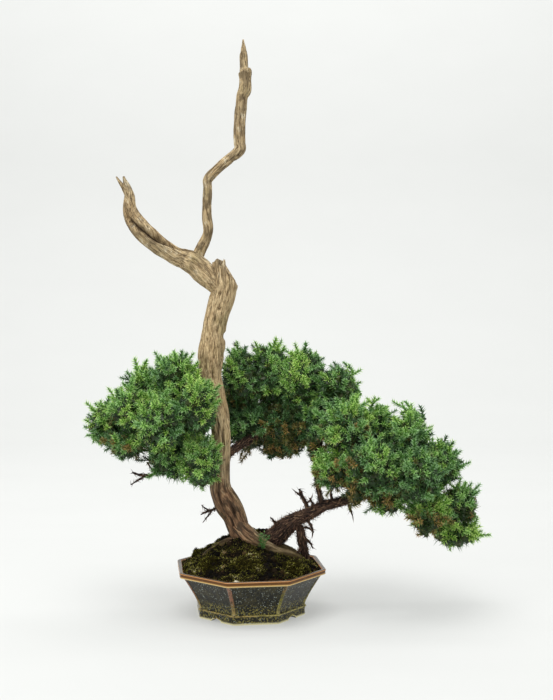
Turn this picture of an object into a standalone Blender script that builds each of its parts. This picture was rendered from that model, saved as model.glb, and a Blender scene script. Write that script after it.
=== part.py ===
"""A juniper bonsai with bleached dead wood, growing in a small eight-sided glazed pot.

Everything is placed from the pot's axis, at the surface that the pot stands on, with +X to the
right of the tree's front, +Y to its back and +Z up. One empty carries the whole plant, so that
the model's origin lies under the middle of the crown.
"""

from math import cos, exp, pi, radians, sin

import bmesh
import bpy
from mathutils import Matrix, Vector

# ---------------------------------------------------------------- driving dimensions (metres)
MM = 0.001
GAP = 0.3 * MM  # air left between two pieces that touch
PLANT_PLACE = (-0.037, -0.006, 0.0)  # the pot's axis, seen from the middle of the crown

SIDES = 8
HALF_TURN = pi / SIDES
POT_TURN = radians(7.8)  # the front face looks a little to the right
POT_HEIGHT = 51 * MM
LIP_APOTHEM = 78.5 * MM
LIP_DEPTH = 6.2 * MM
LIP_WIDTH = 4.5 * MM
LIP_ROUND = 1.6 * MM
NECK_INSET = 5 * MM  # from the lip in to the wall under it
FLARE_POWER = 1.2
FLARE_STEPS = 4
WAIST_APOTHEM = 56.2 * MM
WAIST_HEIGHT = 12 * MM
BAND_HEIGHT = 9.8 * MM
BAND_APOTHEM = 57 * MM
WALL = 5.5 * MM
FOOT_RISE = 3.6 * MM  # clear height under the pot's floor
FOOT_WIDTH = 8 * MM
FLOOR_TOP = 10.6 * MM
ARCH_WIDTH = 15 * MM
ARCH_HEIGHT = 4.6 * MM
DRAIN_RADIUS = 7.5 * MM
DRAIN_OFFSET = 24 * MM
MESH_SIZE = 22 * MM
MESH_CELLS = 7
MESH_CELL = MESH_SIZE / MESH_CELLS
MESH_THICKNESS = 1 * MM
CLIP_WIRE_RADIUS = 0.6 * MM
CLIP_TAIL = 5 * MM

SOIL_EDGE = 48.5 * MM
MOUND_HEIGHT = 36 * MM
MOUND_PEAK = Vector((-15 * MM, 6 * MM, 0))
MOUND_POWER = 1.3
HOLLOW_PLACE = Vector((29 * MM, 4 * MM, 0))  # a dip between the front root and the right branch
HOLLOW_DEPTH = 8 * MM
HOLLOW_REACH = 18 * MM
SOIL_SPOKES = 24
SOIL_RINGS = (1, 0.86, 0.72, 0.58, 0.44, 0.3, 0.18, 0.08)
SOIL_REACH = LIP_APOTHEM - LIP_WIDTH - 2 * MM

# The tree's points are in millimetres from its own axis, which stands right of the pot's by this.
TREE_SHIFT = 1.8

# Limbs: x, y, z and radius of points along each, from where it grows out.
STEM = (
    (0, 2, 52, 15), (-3, 1, 66, 14), (-6.5, 0, 78, 12.5), (-15, 0, 92, 12), (-20, 0, 106, 12.5),
    (-27, 0, 119, 14), (-34, 0, 136, 11.5), (-34, 0, 155, 10), (-33, 0, 177, 9.5),
    (-34, 0, 199, 10), (-37, 0, 220, 11), (-42, 0, 240, 12), (-46, 0, 259, 12.5),
    (-45, 0, 280, 14), (-42, 0, 302, 12.5), (-38, 0, 324, 12.5), (-33, 0, 340, 13),
    (-30, 0, 354, 13), (-31, 0, 367, 11), (-32.5, 0, 378, 7.5), (-33, 0, 385, 4),
)
STEM_STEPS = 2
STEM_ROUNDNESS = 4
LEFT_JIN = (
    (-36, 0, 352, 10), (-48, 0, 366, 13), (-65, -2, 381, 12), (-82, -4, 388, 10),
    (-100, -5, 399, 10.5), (-111, -5, 408, 11), (-123, -4, 421, 10.5), (-131.5, -2, 437, 7.5),
    (-133, 0, 454, 5.2), (-139, 2, 474, 1.4),
)
LEFT_JIN_FORK = ((-132, -1, 448, 3.5), (-136, -3, 457, 3.2), (-146, -5, 473, 1.2))
TOP_JIN = (
    (-62, 1, 379, 6), (-57, 3, 392, 6), (-48, 4, 413, 5.4), (-49, 4, 431, 5.2),
    (-48, 4, 460, 5.2), (-47, 4, 472, 5.4), (-33, 3, 486, 5), (-14, 2, 501, 6.2),
    (-13, 2, 511, 6.2), (-13, 2, 528, 6), (-11, 2, 557, 6.4), (-7.5, 2, 568, 7),
    (-7.5, 2, 587, 6.4), (-9, 2, 606, 3.8), (-9, 2, 621, 0.9),
)
ROOTS = {
    "front": (
        (-16, -3, 96, 9), (-5, -6, 84, 9.5), (8, -9, 75.5, 8), (24, -10, 69, 5.5), (40, -8, 64.5, 3.8),
        (54, -6, 59, 2.2),
    ),
    "left": ((-6, 0, 76, 7), (-24, -8, 77, 5), (-42, -10, 70, 3.4), (-56, -12, 60, 2)),
    "back": ((-4, 4, 76, 7), (-14, 20, 78, 5), (-24, 38, 69, 3.2), (-30, 52, 60, 2)),
    "right": ((0, 4, 68, 8), (20, 12, 66, 7), (40, 16, 62, 5), (58, 14, 55, 2.6)),
}
# Live branches, dead twigs: each is cut by the ones before it.
BRANCHES = {
    "right_branch": (
        (6, 12, 68, 11), (26, 15, 79, 11), (35, 13, 88, 10), (49, 10, 99, 7.6),
        (64, 6, 106, 6.5), (78, 2, 115, 6), (93, 0, 119, 5.4), (112, -2, 125, 5),
        (135, 0, 131, 4.5), (160, 2, 134, 4), (185, 0, 128, 3.4), (208, -2, 110, 2.8),
        (221, -1, 94, 2),
    ),
    "branch_root": (
        (47, 10, 95, 4), (53, 11, 87, 4.4), (55, 12, 75, 4.8), (58, 12, 62, 4.4), (60, 12, 53, 3),
    ),
    "upright_branch": (
        (78, 2, 114, 2.6), (74, 1, 128, 2.8), (70, 0, 159, 2.8), (76, 4, 190, 2.5),
        (86, 14, 222, 2),
    ),
    "outer_branch": (
        (112, -2, 125, 3), (122, 2, 142, 3), (134, 10, 166, 2.6), (140, 18, 196, 2),
    ),
    "back_branch": (
        (-33, 2, 166, 5), (-20, 16, 175, 4.4), (4, 32, 188, 4.2), (33, 44, 196, 3.8),
        (56, 44, 206, 3.2), (62, 42, 240, 2.4),
    ),
    "rear_shoot_branch": ((4, 32, 188, 3), (8, 44, 205, 3), (14, 52, 232, 2.6), (18, 56, 256, 2)),
    "left_branch": (
        (-33, -2, 146, 5), (-50, -10, 156, 4.8), (-70, -14, 170, 4.4), (-95, -10, 188, 4),
        (-122, -4, 200, 3.2), (-150, 3, 204, 2.2),
    ),
    "left_crown_branch": (
        (-70, -14, 170, 3), (-74, -10, 186, 3), (-80, -4, 214, 2.6), (-82, -2, 246, 2),
    ),
    "dead_stub": ((58, 8, 104, 2.2), (60, 7, 113, 2), (54, 6, 127, 1.7), (52, 6, 133, 0.8)),
    "trunk_twig": ((-28, 0, 117, 1.6), (-41, -2, 112, 1.5), (-50, -3, 109, 1.3), (-56, -3, 106, 0.7)),
    "under_twig": (
        (-92, -10, 186, 1.8), (-98, -10, 168, 1.7), (-106, -10, 152, 1.6), (-118, -10, 150, 1.5),
        (-130, -10, 153, 0.7),
    ),
}

BRANCH_STEPS = 2

# Foliage pads: name, centre and half-sizes, in millimetres.
PADS = (
    ("left_tip", -156, 5, 202, 26, 26, 28),
    ("left_outer", -128, -18, 219, 29, 28, 28),
    ("left_rear", -129, 32, 213, 31, 27, 28),
    ("left_upper", -112, 12, 233, 31, 32, 36),
    ("left_crown", -82, -4, 249, 29, 34, 36),
    ("left_inner_front", -58, -36, 224, 25, 26, 36),
    ("left_low_outer", -136, -4, 185, 28, 32, 24),
    ("left_mid_front", -95, -44, 209, 29, 28, 33),
    ("left_low", -86, -6, 169, 30, 34, 29),
    ("left_low_front", -53, -28, 166, 24, 28, 32),
    ("left_back", -85, 44, 205, 36, 28, 41),
    ("back_left", -15, 48, 251, 23, 34, 38),
    ("back_top", 19, 58, 252, 29, 38, 40),
    ("back_right", 56, 44, 248, 29, 36, 41),
    ("back_low_left", -2, 52, 199, 30, 32, 32),
    ("back_low_right", 38, 50, 196, 29, 34, 32),
    ("right_upper", 93, 28, 237, 30, 36, 39),
    ("right_mid", 101, -4, 199, 31, 38, 36),
    ("right_low_inner", 92, -10, 155, 24, 28, 22),
    ("right_crown", 137, 22, 190, 32, 40, 40),
    ("right_mid_front", 128, -36, 161, 30, 32, 34),
    ("right_low", 148, -2, 131, 28, 32, 28),
    ("right_outer_upper", 170, 4, 187, 31, 36, 36),
    ("right_outer_front", 177, -30, 151, 30, 30, 32),
    ("right_outer", 203, 10, 156, 29, 32, 33),
    ("right_outer_low", 193, -6, 113, 28, 30, 30),
    ("right_far", 227, 0, 114, 25, 28, 35),
    ("right_far_tip", 222, 2, 86, 29, 26, 19),
    ("right_back", 150, 62, 163, 39, 28, 39),
)
PAD_SEGMENTS = 12
PAD_RINGS = 8
PAD_GAP = 0.5 * MM

# Moss cushions: name, place and half-sizes, in millimetres; each lies on the soil.
CUSHIONS = (
    ("front_left", -40, -36, 15, 12, 6),
    ("front", -2, -48, 19, 10, 6),
    ("right", 44, -36, 15, 12, 6),
    ("left", -56, 10, 9, 14, 5),
    ("back", 14, 52, 20, 12, 6),
)
# The seedling: centre and half-sizes, in millimetres.
SPRIG = (13, -22, 79, 6, 5, 11)

# ---------------------------------------------------------------- scene, materials and meshes
for old in list(bpy.data.objects):
    bpy.data.objects.remove(old, do_unlink=True)

parts = bpy.data.collections.new("juniper_bonsai")
cutters = bpy.data.collections.new("cutters")
bpy.context.scene.collection.children.link(parts)
bpy.context.scene.collection.children.link(cutters)

plant = bpy.data.objects.new("plant_place", None)
plant.location = PLANT_PLACE
parts.objects.link(plant)


def principled(name, color, roughness, metallic=0.0):
    material = bpy.data.materials.new(name)
    material.use_nodes = True
    shader = material.node_tree.nodes["Principled BSDF"]
    shader.inputs["Base Color"].default_value = (*color, 1.0)
    shader.inputs["Roughness"].default_value = roughness
    shader.inputs["Metallic"].default_value = metallic
    return material


GLAZE = principled("olive_glaze", (0.06, 0.06, 0.045), 0.25)
SOIL = principled("soil", (0.05, 0.035, 0.022), 0.95)
MOSS = principled("moss", (0.12, 0.16, 0.03), 0.95)
DEADWOOD = principled("deadwood", (0.42, 0.33, 0.22), 0.8)
BARK = principled("bark", (0.09, 0.05, 0.035), 0.85)
NEEDLES = principled("needles", (0.06, 0.17, 0.06), 0.6)
SPRIG_LEAF = principled("sprig_leaf", (0.18, 0.35, 0.05), 0.5)
BLACK_PLASTIC = principled("black_plastic", (0.02, 0.02, 0.02), 0.5)
WIRE = principled("wire", (0.5, 0.3, 0.18), 0.35, 1.0)


def add(name, mesh, collection, material=None):
    """Puts a mesh in the scene as an object that stands on the plant's place."""
    mesh.name = name
    mesh.materials.clear()
    if material:
        mesh.materials.append(material)
    thing = bpy.data.objects.new(name, mesh)
    thing.parent = plant
    collection.objects.link(thing)
    if collection is cutters:
        thing.hide_render = True
        thing.display_type = "WIRE"
    return thing


def finished_mesh(build, smooth=True):
    """Turns a bmesh into a mesh."""
    mesh = bpy.data.meshes.new("mesh")
    build.to_mesh(mesh)
    build.free()
    if smooth:
        mesh.shade_smooth()
        mesh.set_sharp_from_angle(angle=radians(40))
    return mesh


def curve_mesh(curve):
    """The welded mesh of a curve datablock, which is then dropped."""
    holder = bpy.data.objects.new("holder", curve)
    bpy.context.scene.collection.objects.link(holder)
    evaluated = holder.evaluated_get(bpy.context.evaluated_depsgraph_get())
    mesh = bpy.data.meshes.new_from_object(evaluated)
    bpy.data.objects.remove(holder)
    bpy.data.curves.remove(curve)
    build = bmesh.new()
    build.from_mesh(mesh)
    bmesh.ops.remove_doubles(build, verts=build.verts, dist=0.01 * MM)
    bpy.data.meshes.remove(mesh)
    return finished_mesh(build)


def boolean(thing, other, operation="DIFFERENCE"):
    cut = thing.modifiers.new(f"{operation.lower()}_{other.name}", "BOOLEAN")
    cut.operation = operation
    cut.object = other
    cut.solver = "EXACT"


def box_of(thing):
    corners = [Vector(corner) for corner in thing.bound_box]
    low = Vector([min(corner[k] for corner in corners) for k in range(3)])
    high = Vector([max(corner[k] for corner in corners) for k in range(3)])
    return low, high


def boxes_meet(first, second):
    low_a, high_a = box_of(first)
    low_b, high_b = box_of(second)
    return all(low_a[k] < high_b[k] and low_b[k] < high_a[k] for k in range(3))


def cut_by(thing, clearances):
    """Cuts a piece by the clearance of each neighbour that reaches its box."""
    for clearance in clearances:
        if boxes_meet(thing, clearance):
            boolean(thing, clearance)


def loft(rings):
    """A closed mesh through rings with the same number of points, lowest ring first."""
    build = bmesh.new()
    rows = [[build.verts.new(point) for point in ring] for ring in rings]
    for lower, upper in zip(rows, rows[1:]):
        for k in range(len(lower)):
            after = (k + 1) % len(lower)
            build.faces.new((lower[k], lower[after], upper[after], upper[k]))
    build.faces.new(reversed(rows[0]))
    build.faces.new(rows[-1])
    bmesh.ops.triangulate(build, faces=build.faces, quad_method="FIXED")
    return finished_mesh(build)


# ---------------------------------------------------------------- the pot and what is in it
def pot_flare():
    """The outer wall's section from the neck under the lip down to the waist."""
    neck = LIP_APOTHEM - NECK_INSET
    rise = POT_HEIGHT - LIP_DEPTH - WAIST_HEIGHT
    flare = []
    for step in range(FLARE_STEPS, -1, -1):
        t = step / FLARE_STEPS
        flare.append((WAIST_APOTHEM + (neck - WAIST_APOTHEM) * t ** FLARE_POWER, WAIST_HEIGHT + rise * t))
    return flare


def pot_inside():
    """The inner wall's section, from the edge of the floor up to the lip."""
    floor_edge = WAIST_APOTHEM - WALL - 2 * MM
    return [(floor_edge, FLOOR_TOP), *((r - WALL, z) for r, z in reversed(pot_flare()))]


def pot_profile():
    """The pot's whole section, from the middle of the floor up inside, over the lip and down outside."""
    lip_bottom = POT_HEIGHT - LIP_DEPTH
    lip_inside = LIP_APOTHEM - LIP_WIDTH
    lip = [
        (lip_inside, POT_HEIGHT - LIP_ROUND),
        (lip_inside + LIP_ROUND, POT_HEIGHT),
        (LIP_APOTHEM - LIP_ROUND, POT_HEIGHT),
        (LIP_APOTHEM, POT_HEIGHT - LIP_ROUND),
        (LIP_APOTHEM, lip_bottom + LIP_ROUND),
        (LIP_APOTHEM - LIP_ROUND, lip_bottom),
    ]
    foot = [
        (WAIST_APOTHEM, BAND_HEIGHT),
        (BAND_APOTHEM, BAND_HEIGHT),
        (BAND_APOTHEM, 0),
        (BAND_APOTHEM - FOOT_WIDTH, 0),
        (BAND_APOTHEM - FOOT_WIDTH, FOOT_RISE),
        (0, FOOT_RISE),
    ]
    return [(0, FLOOR_TOP), *pot_inside(), *lip, *pot_flare(), *foot]


def octagon_turning(profile):
    """A section turned in eight steps, so that its x is the distance to a flat side."""
    build = bmesh.new()
    points = [build.verts.new((r / cos(HALF_TURN), 0, z)) for r, z in profile]
    for first, second in zip(points, points[1:]):
        build.edges.new((first, second))
    return finished_mesh(build, smooth=False)


def arch_outline():
    """Half-height of the cloud-shaped cut across its width, with a small peak in the middle."""
    points = [(-ARCH_WIDTH / 2, -MM)]
    for k in range(-8, 9):
        u = k / 8
        dome = 0.72 * (1 - abs(u) ** 3)
        peak = 0.28 * max(0, 1 - abs(u) / 0.35) ** 1.5
        points.append((u * ARCH_WIDTH / 2, ARCH_HEIGHT * (dome + peak)))
    points.append((ARCH_WIDTH / 2, -MM))
    return points


def arch_cutter(turn):
    curve = bpy.data.curves.new("arch", "CURVE")
    curve.dimensions = "2D"
    curve.fill_mode = "BOTH"
    curve.extrude = (FOOT_WIDTH + 4 * MM) / 2
    spline = curve.splines.new("POLY")
    outline = arch_outline()
    spline.points.add(len(outline) - 1)
    for point, (across, up) in zip(spline.points, outline):
        point.co = (across, up, 0, 1)
    spline.use_cyclic_u = True
    mesh = curve_mesh(curve)
    out = BAND_APOTHEM - FOOT_WIDTH / 2
    upright = Matrix.Rotation(pi / 2, 4, "X")
    around = Matrix.Rotation(turn + pi / 2, 4, "Z")
    mesh.transform(around @ Matrix.Translation((0, -out, 0)) @ upright)
    return add("arch_cutter", mesh, cutters)


def cylinder_cutter(name, radius, low, high, x):
    build = bmesh.new()
    bmesh.ops.create_cone(
        build, cap_ends=True, segments=20, radius1=radius, radius2=radius, depth=high - low,
        matrix=Matrix.Translation((x, 0, (low + high) / 2)),
    )
    return add(name, finished_mesh(build), cutters)


def build_pot():
    pot = add("pot", octagon_turning(pot_profile()), parts, GLAZE)
    pot.rotation_euler.z = POT_TURN + HALF_TURN
    turned = pot.modifiers.new("eight_sides", "SCREW")
    turned.steps = SIDES
    turned.render_steps = SIDES
    turned.use_merge_vertices = True
    turned.merge_threshold = 0.01 * MM
    turned.use_smooth_shade = False
    for quarter in range(4):
        boolean(pot, arch_cutter(POT_TURN + radians(45 + 90 * quarter)))
    for side in (-1, 1):
        drain = cylinder_cutter("drain_cutter", DRAIN_RADIUS, 0, FLOOR_TOP + MM, side * DRAIN_OFFSET)
        boolean(pot, drain)
    return pot


def octagon_point(apothem, turn):
    """The point of an eight-sided outline in the direction of a turn."""
    off_middle = (turn + HALF_TURN) % (2 * HALF_TURN) - HALF_TURN
    reach = apothem / cos(off_middle)
    return Vector((reach * cos(turn + POT_TURN), reach * sin(turn + POT_TURN), 0))


def octagon_ring(apothem, z):
    turns = [2 * pi * k / SOIL_SPOKES + HALF_TURN for k in range(SOIL_SPOKES)]
    return [octagon_point(apothem, turn) + Vector((0, 0, z)) for turn in turns]


def soil_height(x, y):
    """How high the soil stands over a place: a mound that falls to the pot's wall, and a dip."""
    place = Vector((x, y, 0))
    away = place - MOUND_PEAK
    if away.length < MM:
        part = 0
    else:
        out = away.normalized()
        reach = SOIL_REACH - out.dot(MOUND_PEAK)
        part = min(away.length / reach, 1)
    dip = HOLLOW_DEPTH * exp(-((place - HOLLOW_PLACE).length / HOLLOW_REACH) ** 2)
    return SOIL_EDGE + MOUND_HEIGHT * (1 - part ** MOUND_POWER) - dip


def soil_mesh(grow):
    """The root ball: an eight-sided plug that fills the pot, with a mound on it."""
    plug = [octagon_ring(r - GAP + grow, z) for r, z in pot_inside()]
    plug[0] = octagon_ring(pot_inside()[0][0] - GAP, FLOOR_TOP + GAP)
    mound = []
    for part in SOIL_RINGS:
        ring = [MOUND_PEAK.lerp(point, part) for point in octagon_ring(SOIL_REACH + grow, 0)]
        mound.append([Vector((p.x, p.y, soil_height(p.x, p.y) + grow)) for p in ring])
    return loft([*plug, *mound])


def build_drainage_mesh(side, name):
    """A plastic mesh over a drain hole: a grid with every other cell of every other row open."""
    x = side * DRAIN_OFFSET
    build = bmesh.new()
    bmesh.ops.create_grid(
        build, x_segments=MESH_CELLS, y_segments=MESH_CELLS, size=MESH_SIZE / 2,
        matrix=Matrix.Translation((x, 0, FLOOR_TOP + GAP + MESH_THICKNESS)),
    )
    middle = MESH_CELLS // 2
    holes = []
    for face in build.faces:
        place = face.calc_center_median()
        column = round((place.x - x) / MESH_CELL) + middle
        row = round(place.y / MESH_CELL) + middle
        if column % 2 and row % 2:
            holes.append(face)
    bmesh.ops.delete(build, geom=holes, context="FACES")
    mesh = add(f"drainage_mesh_{name}", finished_mesh(build, smooth=False), parts, BLACK_PLASTIC)
    sheet = mesh.modifiers.new("sheet", "SOLIDIFY")
    sheet.thickness = MESH_THICKNESS
    sheet.offset = -1


def build_clip(side, name):
    """The wire that lies over a drainage mesh, goes down through two of its cells and bends out."""
    over = FLOOR_TOP + 2 * GAP + MESH_THICKNESS + CLIP_WIRE_RADIUS
    under = FOOT_RISE - GAP - CLIP_WIRE_RADIUS
    half = 2 * MESH_CELL
    bend = MM
    right_half = (
        (half - bend, over), (half, over - bend), (half, under + bend), (half + bend, under),
        (half + CLIP_TAIL, under),
    )
    left_half = [(-across, up) for across, up in reversed(right_half)]
    x = side * DRAIN_OFFSET
    route = [(x + across, 0, up, 1) for across, up in (*left_half, *right_half)]
    add(f"mesh_clip_{name}", tube(route, CLIP_WIRE_RADIUS, 2), parts, WIRE)


def pocket_cutter(side):
    """Room in the bottom of the soil for a drainage mesh and the wire over it."""
    build = bmesh.new()
    height = MESH_THICKNESS + 2 * CLIP_WIRE_RADIUS + 4 * GAP
    place = Matrix.Translation((side * DRAIN_OFFSET, 0, FLOOR_TOP + height / 2))
    size = Matrix.Diagonal((MESH_SIZE + 2 * GAP, MESH_SIZE + 2 * GAP, height, 1))
    bmesh.ops.create_cube(build, size=1, matrix=place @ size)
    return add("pocket_cutter", finished_mesh(build, smooth=False), cutters)


# ---------------------------------------------------------------- wood
def smooth_route(points, steps):
    """A Catmull-Rom curve through points of any size, with a number of steps to each span."""
    points = [Vector(point) for point in points]
    padded = [2 * points[0] - points[1], *points, 2 * points[-1] - points[-2]]
    route = []
    for p0, p1, p2, p3 in zip(padded, padded[1:], padded[2:], padded[3:]):
        for k in range(steps):
            t = k / steps
            route.append(
                0.5 * (2 * p1 + (p2 - p0) * t + (2 * p0 - 5 * p1 + 4 * p2 - p3) * t ** 2
                       + (3 * p1 - p0 - 3 * p2 + p3) * t ** 3)
            )
    route.append(points[-1])
    return route


def tube(points, bevel_depth, resolution):
    """A closed tube along points of x, y, z and a factor on its bevel depth."""
    curve = bpy.data.curves.new("tube", "CURVE")
    curve.dimensions = "3D"
    curve.bevel_depth = bevel_depth
    curve.bevel_resolution = resolution
    curve.use_fill_caps = True
    spline = curve.splines.new("POLY")
    spline.points.add(len(points) - 1)
    for place, (x, y, z, factor) in zip(spline.points, points):
        place.co = (x, y, z, 1)
        place.radius = factor
    return curve_mesh(curve)


def limb_mesh(points, grow=0.0, steps=1, resolution=2):
    """A limb from its points in millimetres, made fatter and longer all round by grow."""
    route = []
    for x, y, z, radius in smooth_route(points, steps):
        route.append(Vector(((x + TREE_SHIFT) * MM, y * MM, z * MM, radius * MM + grow)))
    end = (route[-1].xyz - route[-2].xyz).normalized()
    route[-1] = Vector((*(route[-1].xyz + end * grow), route[-1].w))
    return tube([tuple(point) for point in route], 1.0, resolution)


def trunk_limbs():
    """Every limb that the trunk is grown from, with its curve's steps and roundness."""
    limbs = [
        ("left_jin", LEFT_JIN, 1, 3),
        ("left_jin_fork", LEFT_JIN_FORK, 1, 2),
        ("top_jin", TOP_JIN, 1, 2),
    ]
    for name, points in ROOTS.items():
        limbs.append((f"{name}_root", points, 2, 2))
    return limbs


def build_trunk():
    """The stem with its two bleached dead tops and its roots, and the clearance round them."""
    trunk = add("trunk", limb_mesh(STEM, 0, STEM_STEPS, STEM_ROUNDNESS), parts, DEADWOOD)
    clearances = [add("stem_clearance", limb_mesh(STEM, GAP, STEM_STEPS, STEM_ROUNDNESS), cutters)]
    for name, points, steps, resolution in trunk_limbs():
        grown = add(f"{name}_union", limb_mesh(points, 0, steps, resolution), cutters)
        boolean(trunk, grown, "UNION")
        clearance = limb_mesh(points, GAP, steps, resolution)
        clearances.append(add(f"{name}_clearance", clearance, cutters))
    return clearances


def build_branches(clearances):
    """The live branches and twigs; each is cut by the ones before it in the list."""
    for name, points in BRANCHES.items():
        branch = add(name, limb_mesh(points, steps=BRANCH_STEPS), parts, BARK)
        cut_by(branch, clearances)
        clearance = limb_mesh(points, GAP, BRANCH_STEPS)
        clearances.append(add(f"{name}_clearance", clearance, cutters))


# ---------------------------------------------------------------- foliage and moss
def ellipsoid(center, half, segments=PAD_SEGMENTS, rings=PAD_RINGS):
    build = bmesh.new()
    bmesh.ops.create_uvsphere(build, u_segments=segments, v_segments=rings, radius=1)
    bmesh.ops.transform(build, matrix=Matrix.LocRotScale(center, None, half), verts=build.verts)
    return build


def support(half, way):
    """How far an ellipsoid with these half-sizes reaches in a direction."""
    return sum((half[k] * way[k]) ** 2 for k in range(3)) ** 0.5


def trim(build, point, way):
    """Cuts off what lies past a plane and closes the cut with one flat face."""
    geometry = build.verts[:] + build.edges[:] + build.faces[:]
    cut = bmesh.ops.bisect_plane(build, geom=geometry, plane_co=point, plane_no=way, clear_outer=True)
    rim = [item for item in cut["geom_cut"] if isinstance(item, bmesh.types.BMEdge)]
    if rim:
        bmesh.ops.contextual_create(build, geom=rim)


def build_pads(clearances):
    """Each pad stops at flat faces half a gap short of the pads next to it."""
    solids = []
    for name, *numbers in PADS:
        x, y, z, *half = (value * MM for value in numbers)
        center = Vector((x + TREE_SHIFT * MM, y, z))
        half = Vector(half)
        solids.append((name, center, half))
    for name, center, half in solids:
        build = ellipsoid(center, half)
        for other, other_center, other_half in solids:
            if other == name:
                continue
            apart = other_center - center
            way = apart.normalized()
            mine = support(half, way)
            theirs = support(other_half, way)
            if mine + theirs > apart.length:
                share = apart.length * mine / (mine + theirs)
                trim(build, center + way * (share - PAD_GAP / 2), way)
        pad = add(f"foliage_{name}", finished_mesh(build), parts, NEEDLES)
        cut_by(pad, clearances)


def build_cushions(clearances):
    for name, *numbers in CUSHIONS:
        x, y, *half = (value * MM for value in numbers)
        center = Vector((x, y, soil_height(x, y)))
        cushion = add(f"moss_{name}", finished_mesh(ellipsoid(center, half, 14, 8)), parts, MOSS)
        cut_by(cushion, clearances)


def build_sprig(clearances):
    """A seedling in the soil before the trunk, as the plain outer shape of its leaves."""
    x, y, z, *half = (value * MM for value in SPRIG)
    sprig = add("weed_sprig", finished_mesh(ellipsoid(Vector((x, y, z)), half, 10, 8)), parts, SPRIG_LEAF)
    cut_by(sprig, clearances)


def build_soil(clearances, pockets):
    soil = add("soil", soil_mesh(0), parts, SOIL)
    cut_by(soil, clearances)
    for pocket in pockets:
        boolean(soil, pocket)


def build_plant():
    build_pot()
    pockets = []
    for side, name in ((-1, "left"), (1, "right")):
        build_drainage_mesh(side, name)
        build_clip(side, name)
        pockets.append(pocket_cutter(side))
    wood = build_trunk()
    build_branches(wood)
    build_soil(wood, pockets)
    build_pads(wood)
    over_soil = add("soil_clearance", soil_mesh(GAP), cutters)
    build_cushions([*wood, over_soil])
    build_sprig([*wood, over_soil])


build_plant()
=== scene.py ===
# %% [markdown]
# # A juniper bonsai with bleached dead wood in an eight-sided glazed pot
# This lesson dresses a finished solid model of a small bonsai. The solid model fixes where every
# piece is, and how big; here each piece gets the surface that makes it read as wood, needle,
# moss, soil or glaze. Wood is swept along its own growth line and carved along its grain, the
# needles, moss, bark flakes and soil grains are scattered with Geometry Nodes, and the pot is
# lofted ring by ring. Every finish is made from nodes, with no picture files.

# %% Load the frame
from itertools import product
from math import cos, pi, radians, sin

import bmesh
import bpy
import numpy as np
from mathutils import Matrix, Vector
from mathutils.bvhtree import BVHTree


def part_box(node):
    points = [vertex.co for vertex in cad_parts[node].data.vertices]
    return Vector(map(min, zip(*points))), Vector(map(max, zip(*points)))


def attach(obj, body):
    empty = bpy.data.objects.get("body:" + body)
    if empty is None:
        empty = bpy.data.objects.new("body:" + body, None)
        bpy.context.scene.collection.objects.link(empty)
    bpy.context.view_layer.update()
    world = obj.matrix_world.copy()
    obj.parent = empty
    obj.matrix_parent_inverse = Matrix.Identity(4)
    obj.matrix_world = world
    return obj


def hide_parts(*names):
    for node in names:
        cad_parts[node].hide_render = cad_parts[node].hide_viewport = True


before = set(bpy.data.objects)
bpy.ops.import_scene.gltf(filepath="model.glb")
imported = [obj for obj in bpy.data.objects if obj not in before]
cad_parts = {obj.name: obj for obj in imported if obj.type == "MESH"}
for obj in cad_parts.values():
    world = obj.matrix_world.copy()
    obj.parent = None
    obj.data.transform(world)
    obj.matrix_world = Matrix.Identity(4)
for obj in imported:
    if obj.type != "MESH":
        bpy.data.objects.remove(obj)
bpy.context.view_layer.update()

MM = 0.001

# %% [markdown]
# ## Camera, floor and light
# The tree is looked at from the front, from a little above half its height, with a longish lens
# so that it isn't distorted. The stage is a pale floor that curves up behind into a pale wall,
# and its paper glows a little, which keeps the shadow on it faint. Three soft area lights stand
# round the tree, one more washes the wall, and a bright sky fills in: the tops of the needles
# are light, and the hollows of the crown go dark by themselves.

# %% Camera
camera = bpy.data.objects.new("front_camera", bpy.data.cameras.new("front_camera"))
camera.data.sensor_width = 36
camera.data.lens = 55.4
camera.location = (0.0018, -1.177, 0.326)
camera.rotation_euler = (radians(90 - 1.97), 0, radians(0.5))
bpy.context.scene.collection.objects.link(camera)
bpy.context.scene.camera = camera
print("camera stands", -camera.location.y, "m in front of the tree")

# %% Floor and lights
def new_object(name, data):
    thing = bpy.data.objects.new(name, data)
    bpy.context.scene.collection.objects.link(thing)
    return thing


def built_mesh(name, build):
    """The mesh that has been built, with its builder freed."""
    mesh = bpy.data.meshes.new(name)
    build.to_mesh(mesh)
    build.free()
    return mesh


def shader_of(name):
    """A new material. The helpers add to its tree until another material or tree is begun."""
    global tree, shader
    material = bpy.data.materials.new(name)
    material.use_nodes = True
    tree = material.node_tree
    shader = tree.nodes["Principled BSDF"]
    return material


def fill(node, values):
    """Sets or links the inputs of a node, by number or by name."""
    for key, value in values:
        socket = node.inputs[key]
        if isinstance(value, bpy.types.NodeSocket):
            tree.links.new(value, socket)
        else:
            socket.default_value = value


def by_name(settings):
    """The settings that name an input: they start with a capital, with _ for each space."""
    return [(key.replace("_", " "), value) for key, value in settings.items() if key[0].isupper()]


def add_node(kind, *values, inputs=None, **settings):
    """Adds a node: values go to its inputs in order, capitals to inputs by name, the rest are settings."""
    node = tree.nodes.new(kind)
    for key, value in settings.items():
        if not key[0].isupper():
            setattr(node, key, value)
    fill(node, [*enumerate(values), *(inputs or {}).items(), *by_name(settings)])
    return node


def result_of(kind, *values, **settings):
    """Adds a node and gives its first output."""
    return add_node(kind, *values, **settings).outputs[0]


def dress(**settings):
    """Sets or links inputs of the material's main shader."""
    fill(shader, by_name(settings))


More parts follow.
